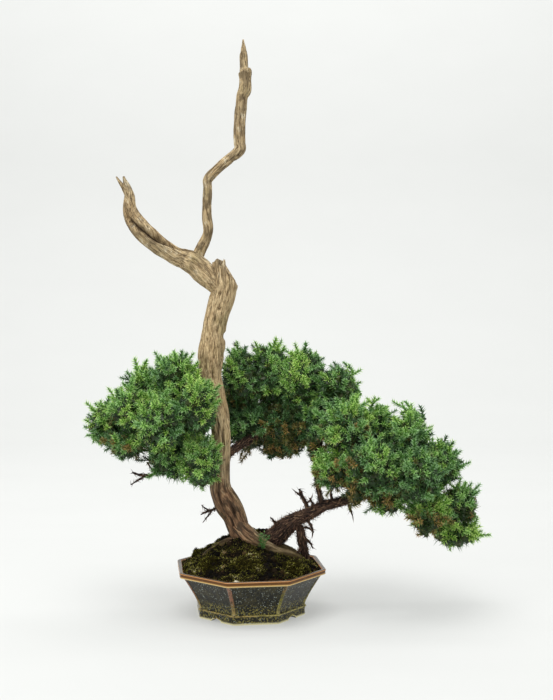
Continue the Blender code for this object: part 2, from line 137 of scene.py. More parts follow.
paper = shader_of("backdrop_paper")
grain = add_node("ShaderNodeTexNoise", Scale=40.0, Detail=3.0)
tone = add_node("ShaderNodeMix", data_type="RGBA", inputs={
    0: grain.outputs["Fac"], 6: (0.345, 0.348, 0.34, 1), 7: (0.365, 0.368, 0.36, 1)})
dress(
    Base_Color=tone.outputs[2], Roughness=0.9, Emission_Color=(0.985, 1.0, 0.985, 1),
    Emission_Strength=0.34)

half_width, floor_front, floor_back, sweep_radius, wall_height = 4.0, -2.5, 1.4, 0.8, 4.0
outline = [(floor_front, 0.0), (floor_back, 0.0)]
for k in range(1, 13):
    turn = k / 12 * pi / 2
    outline.append((floor_back + sweep_radius * sin(turn), sweep_radius * (1 - cos(turn))))
outline.append((floor_back + sweep_radius, wall_height))
points = [(side * half_width, y, z) for y, z in outline for side in (-1, 1)]
quads = [(2 * k, 2 * k + 1, 2 * k + 3, 2 * k + 2) for k in range(len(outline) - 1)]
backdrop = bpy.data.meshes.new("backdrop")
backdrop.from_pydata(points, [], quads)
backdrop.shade_smooth()
backdrop.materials.append(paper)
floor = new_object("backdrop", backdrop)


def soft_light(name, place, target, size, watts):
    light = bpy.data.lights.new(name, "AREA")
    light.shape = "RECTANGLE"
    light.size, light.size_y = size
    light.energy = watts
    lamp = new_object(name, light)
    lamp.location = place
    lamp.rotation_euler = (Vector(target) - Vector(place)).to_track_quat("-Z", "Y").to_euler()


soft_light("overhead_softbox", (-0.2, -0.4, 1.7), (0.0, 0.0, 0.2), (1.2, 1.0), 20)
soft_light("left_softbox", (-1.5, -1.4, 0.9), (0.0, 0.0, 0.25), (1.1, 1.3), 14)
soft_light("right_softbox", (1.7, -1.2, 0.8), (0.0, 0.0, 0.25), (1.1, 1.4), 6)
soft_light("wall_wash", (0.0, 0.9, 2.6), (0.0, 2.2, 0.8), (3.0, 0.6), 49)
world = bpy.data.worlds.new("studio")
world.use_nodes = True
world.node_tree.nodes["Background"].inputs["Color"].default_value = (0.985, 1.0, 0.985, 1)
world.node_tree.nodes["Background"].inputs["Strength"].default_value = 0.66
bpy.context.scene.world = world
bpy.context.scene.view_settings.view_transform = "Standard"
print("the stage, three softboxes and the wall wash are in place")

# %% [markdown]
# ## Noise for carving
# Wood fibres, bark and soil are irregular, but they must come out the same each time the lesson
# runs. Gradient noise does that: every corner of a lattice holds a fixed random direction, and
# a point blends the eight around it. In numpy it works on a whole surface at once.

# %% Gradient noise
LATTICE_SIDE = 64
lattice = np.random.default_rng(11).normal(size=(LATTICE_SIDE,) * 3 + (3,))
lattice /= np.linalg.norm(lattice, axis=-1, keepdims=True)


def ripple(points):
    """Smooth noise of about -1 to 1 at each row of an array of points."""
    base = np.floor(points).astype(int)
    inside = points - base
    ease = inside ** 3 * (inside * (inside * 6 - 15) + 10)
    total = np.zeros(len(points))
    for corner in product((0, 1), repeat=3):
        index = (base + corner) % LATTICE_SIDE
        slope = lattice[index[:, 0], index[:, 1], index[:, 2]]
        weight = np.prod(np.where(corner, ease, 1 - ease), axis=1)
        total += weight * ((inside - corner) * slope).sum(axis=1)
    return total * 1.6


def ease_between(low, high, value):
    """0 below low, 1 above high and a smooth ramp between."""
    part = np.clip((value - low) / (high - low), 0, 1)
    return part * part * (3 - 2 * part)


print("noise at a few places:", ripple(np.linspace(0.2, 3.1, 12).reshape(4, 3)).round(2))

# %% [markdown]
# ## Growth lines
# The limbs of the tree are known by the points that they grow through: x, y, z and radius in
# millimetres from the foot of the tree. They are the same lines that the solid model was made
# from. A Catmull-Rom curve goes through every point; it is cut again into even steps, so that
# the carving keeps one scale from the root to the tip.

# %% Growth lines of the tree
foot_low, foot_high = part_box("pot")
pot_axis = Vector(((foot_low.x + foot_high.x) / 2, (foot_low.y + foot_high.y) / 2, 0))
tree_foot = np.array((pot_axis.x + 1.8 * MM, pot_axis.y, 0.0))
STEM = (
    (0, 2, 52, 15), (-3, 1, 66, 14), (-6.5, 0, 78, 12.5), (-15, 0, 92, 12), (-20, 0, 106, 12.5),
    (-27, 0, 119, 14), (-34, 0, 136, 11.5), (-34, 0, 155, 10), (-33, 0, 177, 9.5), (-34, 0, 199, 10),
    (-37, 0, 220, 11), (-42, 0, 240, 12), (-46, 0, 259, 12.5), (-45, 0, 280, 14), (-42, 0, 302, 12.5),
    (-38, 0, 324, 12.5), (-33, 0, 340, 13), (-30, 0, 354, 13), (-30, 0, 366, 12.5), (-31, 0, 390, 12))
LEFT_JIN = (
    (-34, 1, 352, 9), (-48, 0, 366, 12.5), (-65, -2, 381, 12), (-82, -4, 388, 10), (-100, -5, 399, 10.5),
    (-111, -5, 408, 11), (-123, -4, 421, 10.5), (-131.5, -2, 437, 7.5), (-133, 0, 454, 5.2),
    (-139, 2, 474, 1.2))
LEFT_JIN_FORK = ((-132, -1, 446, 3.6), (-136, -3, 457, 3.2), (-146, -5, 473, 0.8))
TOP_JIN = (
    (-62, 1, 379, 6), (-57, 3, 392, 6), (-48, 4, 413, 5.4), (-49, 4, 431, 5.2), (-48, 4, 460, 5.2),
    (-47, 4, 472, 5.4), (-33, 3, 486, 5), (-14, 2, 501, 6.2), (-13, 2, 511, 6.2), (-13, 2, 528, 6),
    (-11, 2, 557, 6.2), (-7.5, 2, 567, 7.2), (-7, 2, 578, 6.6), (-7.5, 2, 586.5, 7.4),
    (-8.6, 2, 590.5, 5.2), (-9, 2, 606, 3.9), (-9, 2, 621, 0.7))
ROOTS = (
    ((-16, -3, 96, 9), (-5, -6, 84, 9.5), (8, -9, 75.5, 8), (24, -10, 69, 5.5), (40, -8, 64.5, 3.8),
     (54, -6, 59, 2.2)),
    ((-6, 0, 76, 7), (-24, -8, 77, 5), (-42, -10, 70, 3.4), (-56, -12, 60, 1.8)),
    ((-4, 4, 76, 7), (-14, 20, 78, 5), (-24, 38, 69, 3.2), (-30, 52, 60, 1.8)),
    ((0, 4, 68, 8), (20, 12, 66, 7), (40, 16, 62, 5), (58, 14, 55, 2.4)),
)


def growth_line(points, step):
    """Rows of x, y, z and radius in metres, an even step apart, along a curve through the points."""
    points = np.array(points, float)
    padded = np.vstack([2 * points[0] - points[1], points, 2 * points[-1] - points[-2]])
    fine = []
    for p0, p1, p2, p3 in zip(padded, padded[1:], padded[2:], padded[3:]):
        for t in np.linspace(0, 1, 24, endpoint=False):
            fine.append(0.5 * (2 * p1 + (p2 - p0) * t + (2 * p0 - 5 * p1 + 4 * p2 - p3) * t ** 2
                               + (3 * p1 - p0 - 3 * p2 + p3) * t ** 3))
    fine = np.array(fine + [points[-1]]) * MM
    fine[:, :3] += tree_foot
    length = np.concatenate([[0], np.cumsum(np.linalg.norm(np.diff(fine[:, :3], axis=0), axis=1))])
    count = max(int(length[-1] / step), 3)
    even = np.linspace(0, length[-1], count + 1)
    return np.column_stack([np.interp(even, length, fine[:, k]) for k in range(4)]), even


print("the stem grows through", len(STEM), "points,", round(growth_line(STEM, MM)[1][-1], 3), "m long")

# %% [markdown]
# ## Carved limbs
# Dead juniper wood weathers along its fibres: soft wood rots out and leaves flutes, deep cracks
# and small pits that run with the twist of the tree. A limb is swept as a tube of many narrow
# strips. The carving is worked out in the wood's own straightened space (around, around, along),
# stretched along the fibre, so that every groove follows the limb and turns with it.

# %% Sweeping and carving a limb
def side_vectors(line):
    """Two unit vectors across the limb at each step, turned as little as possible on the way."""
    tangents = np.gradient(line[:, :3], axis=0)
    tangents /= np.linalg.norm(tangents, axis=1, keepdims=True)
    side = np.cross(tangents[0], (0, 1, 0))
    sides = []
    for tangent in tangents:
        side = side - tangent * side.dot(tangent)
        side = side / np.linalg.norm(side)
        sides.append(side)
    sides = np.array(sides)
    return sides, np.cross(tangents, sides), tangents


def ring_faces(rings, count, low, high):
    """Quads between rings of points, and triangles from the first and last ring to a point at each end."""
    index = np.arange(rings * count).reshape(rings, count)
    after = np.roll(index, -1, axis=1)
    quads = np.stack([index[:-1], after[:-1], after[1:], index[1:]], axis=-1).reshape(-1, 4).tolist()
    low_cap = [(low, after[0, k], index[0, k]) for k in range(count)]
    high_cap = [(high, index[-1, k], after[-1, k]) for k in range(count)]
    return quads, low_cap, high_cap


def carved_limb(points, step, around, twist=4.0, flute=0.10, crack=0.8, seed=0.0, shape=None, rough=1.0):
    """The points, faces and wood coordinates of a limb that is carved along its grain."""
    line, along = growth_line(points, step)
    sides, others, tangents = side_vectors(line)
    rings = len(line)
    angle = np.tile(np.arange(around) / around * 2 * pi, rings)
    run = np.repeat(along, around)
    radius = np.repeat(line[:, 3], around)
    fibre_angle = angle + twist * run
    wood = np.column_stack([radius * np.cos(fibre_angle), radius * np.sin(fibre_angle), run])
    stretched = wood * (1, 1, 0.11) + seed
    broad = ripple(stretched / (9 * MM))
    strips = ripple(stretched / (3.6 * MM) + 5)
    fibres = ripple(stretched / (1.5 * MM) + 9)
    lumps = ripple(wood / (14 * MM) + seed + 3)
    seams = 1 - ease_between(0.0, 0.16, np.abs(ripple(stretched / (5.2 * MM) + 21)))
    seams *= ease_between(-0.35, 0.25, ripple(wood * (1, 1, 0.4) / (12 * MM) + seed + 31))
    pits = ease_between(0.55, 0.8, ripple(wood * (1, 1, 0.45) / (3.4 * MM) + seed + 41))
    out = radius * (1 + flute * (0.9 * broad + 0.5 * lumps))
    out += rough * MM * (0.42 * strips + 0.22 * fibres)
    depth = crack * MM * (1.15 * seams + 0.8 * pits) * np.minimum(1, radius / (6 * MM))
    out -= depth
    groove = np.clip(0.75 * seams + 0.7 * pits + 0.25 * np.clip(-strips, 0, 1), 0, 1)
    if shape is not None:
        out, groove = shape(out, groove, angle, run, radius)
    taper = np.repeat(np.minimum(1, 0.25 + line[:, 3] / (2.0 * MM)), around)
    out = radius + (out - radius) * taper
    center = np.repeat(line[:, :3], around, axis=0)
    across = np.cos(angle)[:, None] * np.repeat(sides, around, axis=0)
    across += np.sin(angle)[:, None] * np.repeat(others, around, axis=0)
    verts = center + across * out[:, None]
    quads, low_cap, high_cap = ring_faces(rings, around, rings * around, rings * around + 1)
    verts = np.vstack([verts, line[0, :3], line[-1, :3]])
    wood = np.vstack([wood, (0, 0, along[0]), (0, 0, along[-1])])
    groove = np.concatenate([groove, [0.4, 0.2]])
    fibre = np.vstack([np.repeat(tangents, around, axis=0), tangents[0], tangents[-1]])
    faces = [*quads, *low_cap, *high_cap]
    return {"verts": verts, "faces": faces, "wood": wood, "groove": groove, "fibre": fibre}


def wood_mesh(name, limbs, material):
    """One mesh from several limbs, with the wood coordinates and the groove depth on its points."""
    verts, faces, start = [], [], 0
    for limb in limbs:
        verts.append(limb["verts"])
        faces += [tuple(i + start for i in face) for face in limb["faces"]]
        start += len(limb["verts"])
    mesh = bpy.data.meshes.new(name)
    mesh.from_pydata(np.vstack(verts).tolist(), [], faces)
    wood = mesh.attributes.new("wood", "FLOAT_VECTOR", "POINT")
    wood.data.foreach_set("vector", np.vstack([limb["wood"] for limb in limbs]).astype(np.float32).ravel())
    groove = mesh.attributes.new("groove", "FLOAT", "POINT")
    groove.data.foreach_set("value", np.concatenate([limb["groove"] for limb in limbs]).astype(np.float32))
    fibre = mesh.attributes.new("fibre", "FLOAT_VECTOR", "POINT")
    fibre.data.foreach_set("vector", np.vstack([limb["fibre"] for limb in limbs]).astype(np.float32).ravel())
    mesh.shade_smooth()
    mesh.materials.append(material)
    print(name, len(mesh.vertices), "points,", sum(len(face) - 2 for face in faces), "triangles")
    return mesh


def finish_piece(name, mesh, slot, *nodes):
    """Puts a piece in the scene, in place of the solid nodes that it stands for."""
    piece = new_object(name, mesh)
    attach(piece, "root")
    if nodes:
        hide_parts(*nodes)

# %% [markdown]
# ## Wood finishes
# Bleached dead wood is tan and silver with dark lines in its cracks; the live part near the
# ground keeps strips of red-brown bark, with a green bloom of algae at the soil. The finish
# reads the wood coordinates that were stored on the mesh, so its fine fibres run with the
# carving, and the groove depth, which darkens the cracks and the rotted hollow with dirt and painted shade.

# %% Colour helpers
def srgb(red, green, blue):
    """A colour from everyday 0 to 255 values, in the linear light that shaders use."""
    parts = [value / 255 for value in (red, green, blue)]
    return (*[part / 12.92 if part <= 0.04045 else ((part + 0.055) / 1.055) ** 2.4 for part in parts], 1)


def ramp(factor, stops):
    """A colour ramp through stops of position, red, green and blue."""
    node = add_node("ShaderNodeValToRGB", factor)
    elements = node.color_ramp.elements
    first, *between, last = [(position, srgb(*color)) for position, *color in stops]
    elements[0].position, elements[0].color = first
    elements[1].position, elements[1].color = last
    for position, color in between:
        elements.new(position).color = color
    return node.outputs["Color"]


def blend_colors(factor, first, second, mode="MIX"):
    mix = add_node(
        "ShaderNodeMix", data_type="RGBA", blend_type=mode, inputs={0: factor, 6: first, 7: second})
    return mix.outputs[2]


def fade(value, low, high, start=0.0, end=1.0):
    """A smooth ramp of one value to another range."""
    return result_of("ShaderNodeMapRange", value, low, high, start, end, interpolation_type="SMOOTHSTEP")


def arithmetic(operation, first, second):
    return result_of("ShaderNodeMath", first, second, operation=operation, use_clamp=True)


def overlap(first, second):
    """Two masks multiplied, or a mask weakened by a number."""
    return arithmetic("MULTIPLY", first, second)


def part_of(vector, axis):
    return add_node("ShaderNodeSeparateXYZ", vector).outputs[axis]


def object_place():
    return add_node("ShaderNodeTexCoord").outputs["Object"]


def stored(name, output="Fac"):
    """A value that is stored on the mesh."""
    return add_node("ShaderNodeAttribute", attribute_name=name).outputs[output]


def fine_noise(vector, scale, detail=4.0, stretch=(1, 1, 1), offset=(0, 0, 0), rough=0.55, distort=0.0):
    """Noise whose pattern is pulled out along one axis by a Mapping node."""
    mapped = result_of("ShaderNodeMapping", Vector=vector, Scale=stretch, Location=offset)
    noise = {"Vector": mapped, "Scale": scale, "Detail": detail, "Roughness": rough, "Distortion": distort}
    return result_of("ShaderNodeTexNoise", inputs=noise)


def raise_bump(height, distance, strength=1.0):
    dress(Normal=result_of("ShaderNodeBump", Height=height, Distance=distance, Strength=strength))

# %% Bleached wood
dead_wood = shader_of("bleached_wood")
wood_at = stored("wood", "Vector")
groove_at = stored("groove")
place = object_place()
height = part_of(place, "Z")
fibres = fine_noise(wood_at, 1100, 5.0, (1, 1, 0.05))
strands = fine_noise(wood_at, 400, 4.0, (1, 1, 0.12), (3, 1, 2))
patches = fine_noise(wood_at, 55, 3.0, (1, 1, 0.35), (7, 2, 1))
warmth = fine_noise(place, 16, 2.0, offset=(2, 5, 8))
tan = ramp(fibres, [
    (0.30, 128, 104, 70), (0.42, 180, 155, 114), (0.56, 208, 183, 141), (0.72, 236, 216, 176)])
silver = ramp(strands, [(0.32, 132, 117, 90), (0.5, 174, 157, 125), (0.7, 210, 195, 162)])
streaky = blend_colors(fade(patches, 0.48, 0.66), tan, silver)
on_stem = overlap(fade(height, 0.19, 0.25), fade(height, 0.355, 0.39, 1.0, 0.0))
short_flakes = fine_noise(wood_at, 620, 6.0, (1, 1, 0.26), (2, 9, 4), rough=0.66)
flaky = ramp(short_flakes, [
    (0.32, 88, 66, 42), (0.42, 150, 126, 90), (0.52, 190, 166, 126), (0.68, 222, 200, 158)])
curls = fine_noise(wood_at, 460, 4.0, (1, 1, 0.3), (4, 1, 6), rough=0.6)
curl_edges = overlap(fade(curls, 0.485, 0.5), fade(curls, 0.505, 0.525, 1.0, 0.0))
curled = blend_colors(overlap(curl_edges, 0.75), flaky, srgb(104, 76, 44))
surface = blend_colors(overlap(on_stem, 0.86), streaky, curled)
rust = blend_colors(fade(warmth, 0.5, 0.72, 0.0, 0.45), surface, srgb(150, 112, 66))
olive = blend_colors(
    fade(fine_noise(place, 34, 3.0, offset=(9, 4, 3)), 0.56, 0.72, 0.0, 0.32), rust, srgb(122, 118, 66))
blotch = fine_noise(place, 120, 4.0, (1, 1, 0.7), (6, 1, 9))
stained = blend_colors(
    overlap(fade(blotch, 0.48, 0.62, 0.0, 0.75), fade(height, 0.34, 0.40)), olive, srgb(96, 80, 58))
bleached = blend_colors(
    overlap(fade(blotch, 0.34, 0.44, 0.7, 0.0), fade(height, 0.34, 0.40)), stained, srgb(236, 222, 190))
tops = blend_colors(
    fade(arithmetic("ADD", height, overlap(warmth, 0.12)), 0.42, 0.47, 0.0, 0.35), bleached,
    srgb(112, 98, 70))
bark_strips = ramp(strands, [
    (0.32, 34, 21, 13), (0.45, 100, 68, 46), (0.57, 142, 108, 78), (0.72, 186, 160, 124)])
strip_mask = fade(arithmetic("ADD", height, overlap(strands, 0.09)), 0.17, 0.235, 1.0, 0.0)
across = part_of(place, "X")
right_side = fade(arithmetic("ADD", arithmetic("ADD", across, 0.2), overlap(height, 0.5)), 0.205, 0.216)
worn = ramp(strands, [(0.30, 60, 46, 32), (0.46, 122, 102, 76), (0.60, 168, 148, 114), (0.78, 198, 182, 148)])
strips = blend_colors(overlap(right_side, 0.85), bark_strips, worn)
flakes = fine_noise(wood_at, 340, 4.0, (1, 1, 0.26), (8, 2, 4))
flaked = blend_colors(fade(flakes, 0.40, 0.50, 0.85, 0.0), strips, srgb(34, 22, 13))
barked = blend_colors(overlap(strip_mask, 0.94), tops, flaked)
algae = fade(arithmetic("ADD", height, overlap(patches, 0.03)), 0.078, 0.1, 0.9, 0.0)
left_foot = overlap(
    fade(arithmetic("ADD", across, 0.2), 0.125, 0.14, 1.0, 0.0), fade(height, 0.1, 0.115, 0.95, 0.0))
moss_tone = ramp(fine_noise(place, 330, 4.0, (1, 1, 0.6), (3, 3, 3)), [
    (0.36, 26, 20, 8), (0.5, 66, 56, 22), (0.62, 112, 96, 48), (0.76, 164, 140, 92)])
mossy = blend_colors(left_foot, blend_colors(algae, barked, srgb(74, 62, 28)), moss_tone)
# Cracks and the rotted hollow go dark brown by groove depth: partly dirt, partly painted shade in the
# recesses.
crack_dirt_and_shade = arithmetic("POWER", groove_at, 1.5)
low_down = fade(height, 0.2, 0.26, 0.95, 0.36)
hollow = fade(groove_at, 0.82, 1.0, 0.0, 0.82)
dark = blend_colors(arithmetic("MAXIMUM", overlap(crack_dirt_and_shade, low_down), hollow), mossy, srgb(44, 30, 18))
check_noise = fine_noise(wood_at, 520, 4.0, (1, 1, 0.06), (5, 5, 1))
checks = overlap(fade(check_noise, 0.47, 0.495), fade(check_noise, 0.505, 0.53, 1.0, 0.0))
crossed = blend_colors(overlap(checks, fade(on_stem, 0.0, 1.0, 0.8, 0.35)), dark, srgb(78, 58, 38))
lines = blend_colors(fade(strands, 0.33, 0.39, 0.3, 0.0), crossed, srgb(92, 70, 46))
dress(Base_Color=lines, Roughness=fade(fibres, 0.3, 0.7, 0.9, 0.68), Specular_IOR_Level=0.3)
whole_skin = overlap(arithmetic("SUBTRACT", 1.0, checks), 0.3)
relief = arithmetic("ADD", overlap(short_flakes, 0.4), arithmetic("ADD", overlap(strands, 0.4), whole_skin))
raise_bump(relief, 1.5 * MM)
print("bleached wood has", len(tree.nodes), "nodes")

# %% [markdown]
# ## The trunk and its dead tops
# Stem, roots and both dead tops grew as one, so they are one piece. The stem ends in a broken
# stub: its tube is swept on past the break, then every point above a jagged line is pushed
# down to it, which leaves two splinters and a sloping shoulder. The left dead top has a deep
# hollow that winds round it, and the upright one a spur and a notch near its tip.

# %% Trunk
def hollow_of_left_top(out, groove, angle, run, radius):
    """The rotted hollow: it starts near the top edge and winds round to the outer side."""
    track = np.interp(run, [0.045, 0.075, 0.100, 0.125], [2.85, 2.4, 1.85, 1.1])
    width = np.interp(run, [0.03, 0.055, 0.092, 0.128, 0.140], [0.10, 0.20, 0.42, 0.22, 0.08])
    depth = np.interp(run, [0.025, 0.045, 0.092, 0.126, 0.140], [0.0, 0.32, 0.72, 0.45, 0.0])
    off = np.abs((angle - track + pi) % (2 * pi) - pi) / width
    cut = np.exp(-off ** 4)
    return out * (1 - depth * cut), np.maximum(groove, cut * np.minimum(1, depth * 1.9))


def marks_on(points, marks):
    """A shape that dents or raises a limb at marks.

    Each mark has a height in mm, a turn, a half-height in mm, a half-width in degrees and a depth in mm."""
    line, along = growth_line(points, MM)

    def shape(out, groove, angle, run, radius):
        for height, turn, half_height, half_width, depth in marks:
            at = np.interp(height * MM, line[:, 2], along)
            off = (angle - radians(turn) + pi) % (2 * pi) - pi
            print_of = np.exp(-((run - at) / (half_height * MM)) ** 4 - (off / radians(half_width)) ** 4)
            out = out + depth * MM * print_of
            groove = np.maximum(groove, print_of * (0.95 if depth < 0 else 0.15))
        return out, groove

    return shape


STEM_MARKS = (
    (303, 180, 4, 26, -2.0), (292, 178, 6, 24, 1.0), (282, 175, 3, 20, -1.2), (346, 78, 2.5, 9, -2.2),
    (331, 100, 2, 8, -1.8), (320, 88, 4, 8, -2.4), (309, 112, 5, 7, -1.8), (258, 112, 8, 8, -2.4),
    (247, 80, 6, 8, -2.2), (232, 120, 10, 7, -2.0), (366, 152, 2.5, 20, -2.2), (357, 165, 4, 26, 1.3),
    (370.5, 118, 2.5, 9, -3.0), (268, 0, 6, 22, -1.8), (214, 60, 7, 9, -2.0), (192, 105, 9, 8, -2.2),
    (126, 70, 12, 8, -2.4), (110, 105, 12, 7, -2.4), (98, 75, 9, 8, -2.0))


def break_line(x):
    """How high the broken stub stands, across the front of the stem, in metres."""
    across = np.array([
        -60, -47, -43.5, -41, -36.6, -34.6, -33.2, -31.2, -29.6, -28.4, -26, -18.7, -16, -8]) * MM
    heights = np.array([374, 376, 380, 381.5, 387, 383, 378, 381, 388, 376, 371.5, 362.5, 356, 350]) * MM
    return np.interp(x - tree_foot[0], across, heights)


stem = carved_limb(
    STEM, 0.95 * MM, 132, twist=3.2, flute=0.10, crack=1.15, seed=0.3, shape=marks_on(STEM, STEM_MARKS))
verts = stem["verts"]
jagged = break_line(verts[:, 0]) + 1.6 * MM * ripple(verts / (2.2 * MM))
jagged -= 0.22 * np.abs(verts[:, 1] - tree_foot[1])
above = verts[:, 2] > jagged
verts[above, 2] = jagged[above]
stem["groove"][above] = 0.35
left_top = carved_limb(
    LEFT_JIN, 0.95 * MM, 104, twist=-9.0, flute=0.15, crack=1.2, seed=2.7, rough=1.5,
    shape=hollow_of_left_top)
left_fork = carved_limb(LEFT_JIN_FORK, 0.8 * MM, 36, twist=-9.0, flute=0.12, crack=0.5, seed=3.9, rough=0.6)
upright_top = carved_limb(TOP_JIN, 0.95 * MM, 64, twist=11.0, flute=0.17, crack=1.1, seed=5.1, rough=1.6)
roots = [
    carved_limb(points, 1.1 * MM, 40, twist=5.0, flute=0.22, crack=1.1, seed=7 + k, rough=1.5)
    for k, points in enumerate(ROOTS)]
trunk_mesh = wood_mesh("trunk_wood", [stem, left_top, left_fork, upright_top, *roots], dead_wood)
finish_piece("trunk_wood", trunk_mesh, "deadwood", "trunk")

# %% [markdown]
# ## Growing things with Geometry Nodes
# A juniper carries tens of thousands of needles, and the ground under it thousands of moss
# blades and grit grains. Modelling them one by one is hopeless, and copying one clump shows.
# A Geometry Nodes tree grows them by rule instead: it strews points over a surface, turns and
# sizes a small shape at each, and makes the result real. Every tree here has named inputs and a
# fixed seed, and the helper below runs it once and keeps a plain mesh.

# %% Helpers for node trees
BAKE_MAP = "OFBake"
FULL_TURN = 6.283
SOCKET_KINDS = {
    "float": "NodeSocketFloat", "int": "NodeSocketInt", "object": "NodeSocketObject",
    "collection": "NodeSocketCollection", "material": "NodeSocketMaterial"}


def growth_tree(name, numbers, **inputs):
    """Begins a Geometry Nodes tree. Its numbers, other inputs, seed and material are `given` to its nodes."""
    global tree, given
    inputs = {**dict.fromkeys(numbers.split(), "float"), **inputs, "Seed": "int", "Material": "material"}
    tree = bpy.data.node_groups.new(name, "GeometryNodeTree")
    tree.interface.new_socket("Geometry", in_out="INPUT", socket_type="NodeSocketGeometry")
    for label, kind in inputs.items():
        tree.interface.new_socket(label, in_out="INPUT", socket_type=SOCKET_KINDS[kind])
    tree.interface.new_socket("Geometry", in_out="OUTPUT", socket_type="NodeSocketGeometry")
    given = tree.nodes.new("NodeGroupInput").outputs
    return tree


def math_node(operation, first, second):
    return result_of("ShaderNodeMath", first, second, operation=operation)


def plus(first, second):
    return math_node("ADD", first, second)


def minus(first, second):
    return math_node("SUBTRACT", first, second)


def times(first, second):
    return math_node("MULTIPLY", first, second)


def less(first, second):
    return math_node("LESS_THAN", first, second)


def seeded(shift):
    """The tree's seed moved on, so that every choice is another one."""
    return plus(given["Seed"], shift)


def random_float(low, high, seed):
    choice = add_node("FunctionNodeRandomValue", data_type="FLOAT", inputs={2: low, 3: high, "Seed": seed})
    return choice.outputs[1]


def random_vector(reach, seed):
    ends = {0: (-reach,) * 3, 1: (reach,) * 3, "Seed": seed}
    return result_of("FunctionNodeRandomValue", data_type="FLOAT_VECTOR", inputs=ends)


def random_pick(last, seed):
    """A whole number from 0 to the last."""
    choice = add_node("FunctionNodeRandomValue", data_type="INT", inputs={4: 0, 5: last, "Seed": seed})
    return choice.outputs[2]


def vector_of(x=0.0, y=0.0, z=0.0):
    return result_of("ShaderNodeCombineXYZ", x, y, z)


def vector_math(operation, *vectors, **settings):
    return result_of("ShaderNodeVectorMath", *vectors, operation=operation, **settings)


def place_noise(scale, detail=2.0, **settings):
    return result_of("ShaderNodeTexNoise", Scale=scale, Detail=detail, **settings)


def aimed_along(vector, axis="Z", **settings):
    return result_of("FunctionNodeAlignRotationToVector", axis=axis, Vector=vector, **settings)


def turned_by(rotation, turn):
    return result_of("FunctionNodeRotateRotation", rotation_space="LOCAL", Rotation=rotation, Rotate_By=turn)


def strew_points(mesh, spacing, density, seed):
    """Points over a surface, no two closer than the spacing."""
    wanted = {"Mesh": mesh, "Distance Min": spacing, "Density Max": density, "Seed": seed}
    return add_node("GeometryNodeDistributePointsOnFaces", distribute_method="POISSON", inputs=wanted)


def spike_mesh(corners, radius, length, top=0.0, rings=1):
    """A cone that stands on its base."""
    sizes = {"Vertices": corners, "Side Segments": rings, "Fill Segments": 1}
    sizes |= {"Radius Top": top, "Radius Bottom": radius, "Depth": length}
    return add_node("GeometryNodeMeshCone", fill_type="NGON", inputs=sizes).outputs["Mesh"]


def put_on_points(points, shape, rotation, scale, **settings):
    turned = {"Rotation": rotation, "Scale": scale}
    return result_of("GeometryNodeInstanceOnPoints", Points=points, Instance=shape, **turned, **settings)


def members(collection):
    """The objects of a collection, to pick from."""
    return result_of(
        "GeometryNodeCollectionInfo", Collection=collection, Separate_Children=True, Reset_Children=True)


def carried(value, low, high, start, end):
    """One range carried in a straight line to another."""
    return result_of("ShaderNodeMapRange", value, low, high, start, end)


def join(*parts):
    together = add_node("GeometryNodeJoinGeometry")
    for part in parts:
        tree.links.new(part, together.inputs[0])
    return together.outputs[0]


def store(geometry, name, value, domain="POINT", data_type="FLOAT"):
    kind = {"domain": domain, "data_type": data_type}
    return result_of("GeometryNodeStoreNamedAttribute", **kind, Geometry=geometry, Name=name, Value=value)


def read_value(name, data_type="FLOAT"):
    return result_of("GeometryNodeInputNamedAttribute", data_type=data_type, Name=name)


def along_and_age(corner_step, *shades):
    """Where a corner lies on the baked map: along its spike, and by age, with any more shades added."""
    corner = times(math_node("MODULO", result_of("GeometryNodeInputIndex"), 3.0), corner_step)
    age = read_value("age")
    for shade in shades:
        age = plus(age, read_value(shade))
    return vector_of(plus(times(read_value("along"), 0.96), 0.02), plus(age, corner))


def finish_growth(geometry, bake_place=None, spare=()):
    """Ends a tree: instances made real, mapped for baking, cleared of spare values and given the finish."""
    real = result_of("GeometryNodeRealizeInstances", Geometry=geometry)
    if bake_place is not None:
        real = store(real, BAKE_MAP, bake_place, "CORNER", "FLOAT2")
    for name in spare:
        real = result_of("GeometryNodeRemoveAttribute", Geometry=real, Name=name)
    end = tree.nodes.new("NodeGroupOutput")
    fill(end, [(0, result_of("GeometryNodeSetMaterial", Geometry=real, Material=given["Material"]))])


def grow(name, ground, tree, **values):
    """Runs a tree on a mesh with the given inputs and returns the result as a plain mesh."""
    holder = new_object(name, ground)
    modifier = holder.modifiers.new(tree.name, "NODES")
    modifier.node_group = tree
    for item in tree.interface.items_tree:
        if item.in_out == "INPUT" and item.name in values:
            modifier[item.identifier] = values[item.name]
    evaluated = holder.evaluated_get(bpy.context.evaluated_depsgraph_get())
    mesh = bpy.data.meshes.new_from_object(evaluated)
    bpy.data.objects.remove(holder)
    mesh.name = name
    return mesh


def triangles(mesh):
    return sum(len(polygon.vertices) - 2 for polygon in mesh.polygons)

# %% [markdown]
# ## A shoot of needles
# Young juniper foliage is made of awl-shaped needles about 5 mm long. They stand in a spiral
# round a thin green stem, wide open at its foot and closing towards its tip, like a bottle
# brush. The tree below strings points along a line, turns each by the golden angle and puts a
# three-sided spike there. The spikes keep how far along them a point is, for the colour.

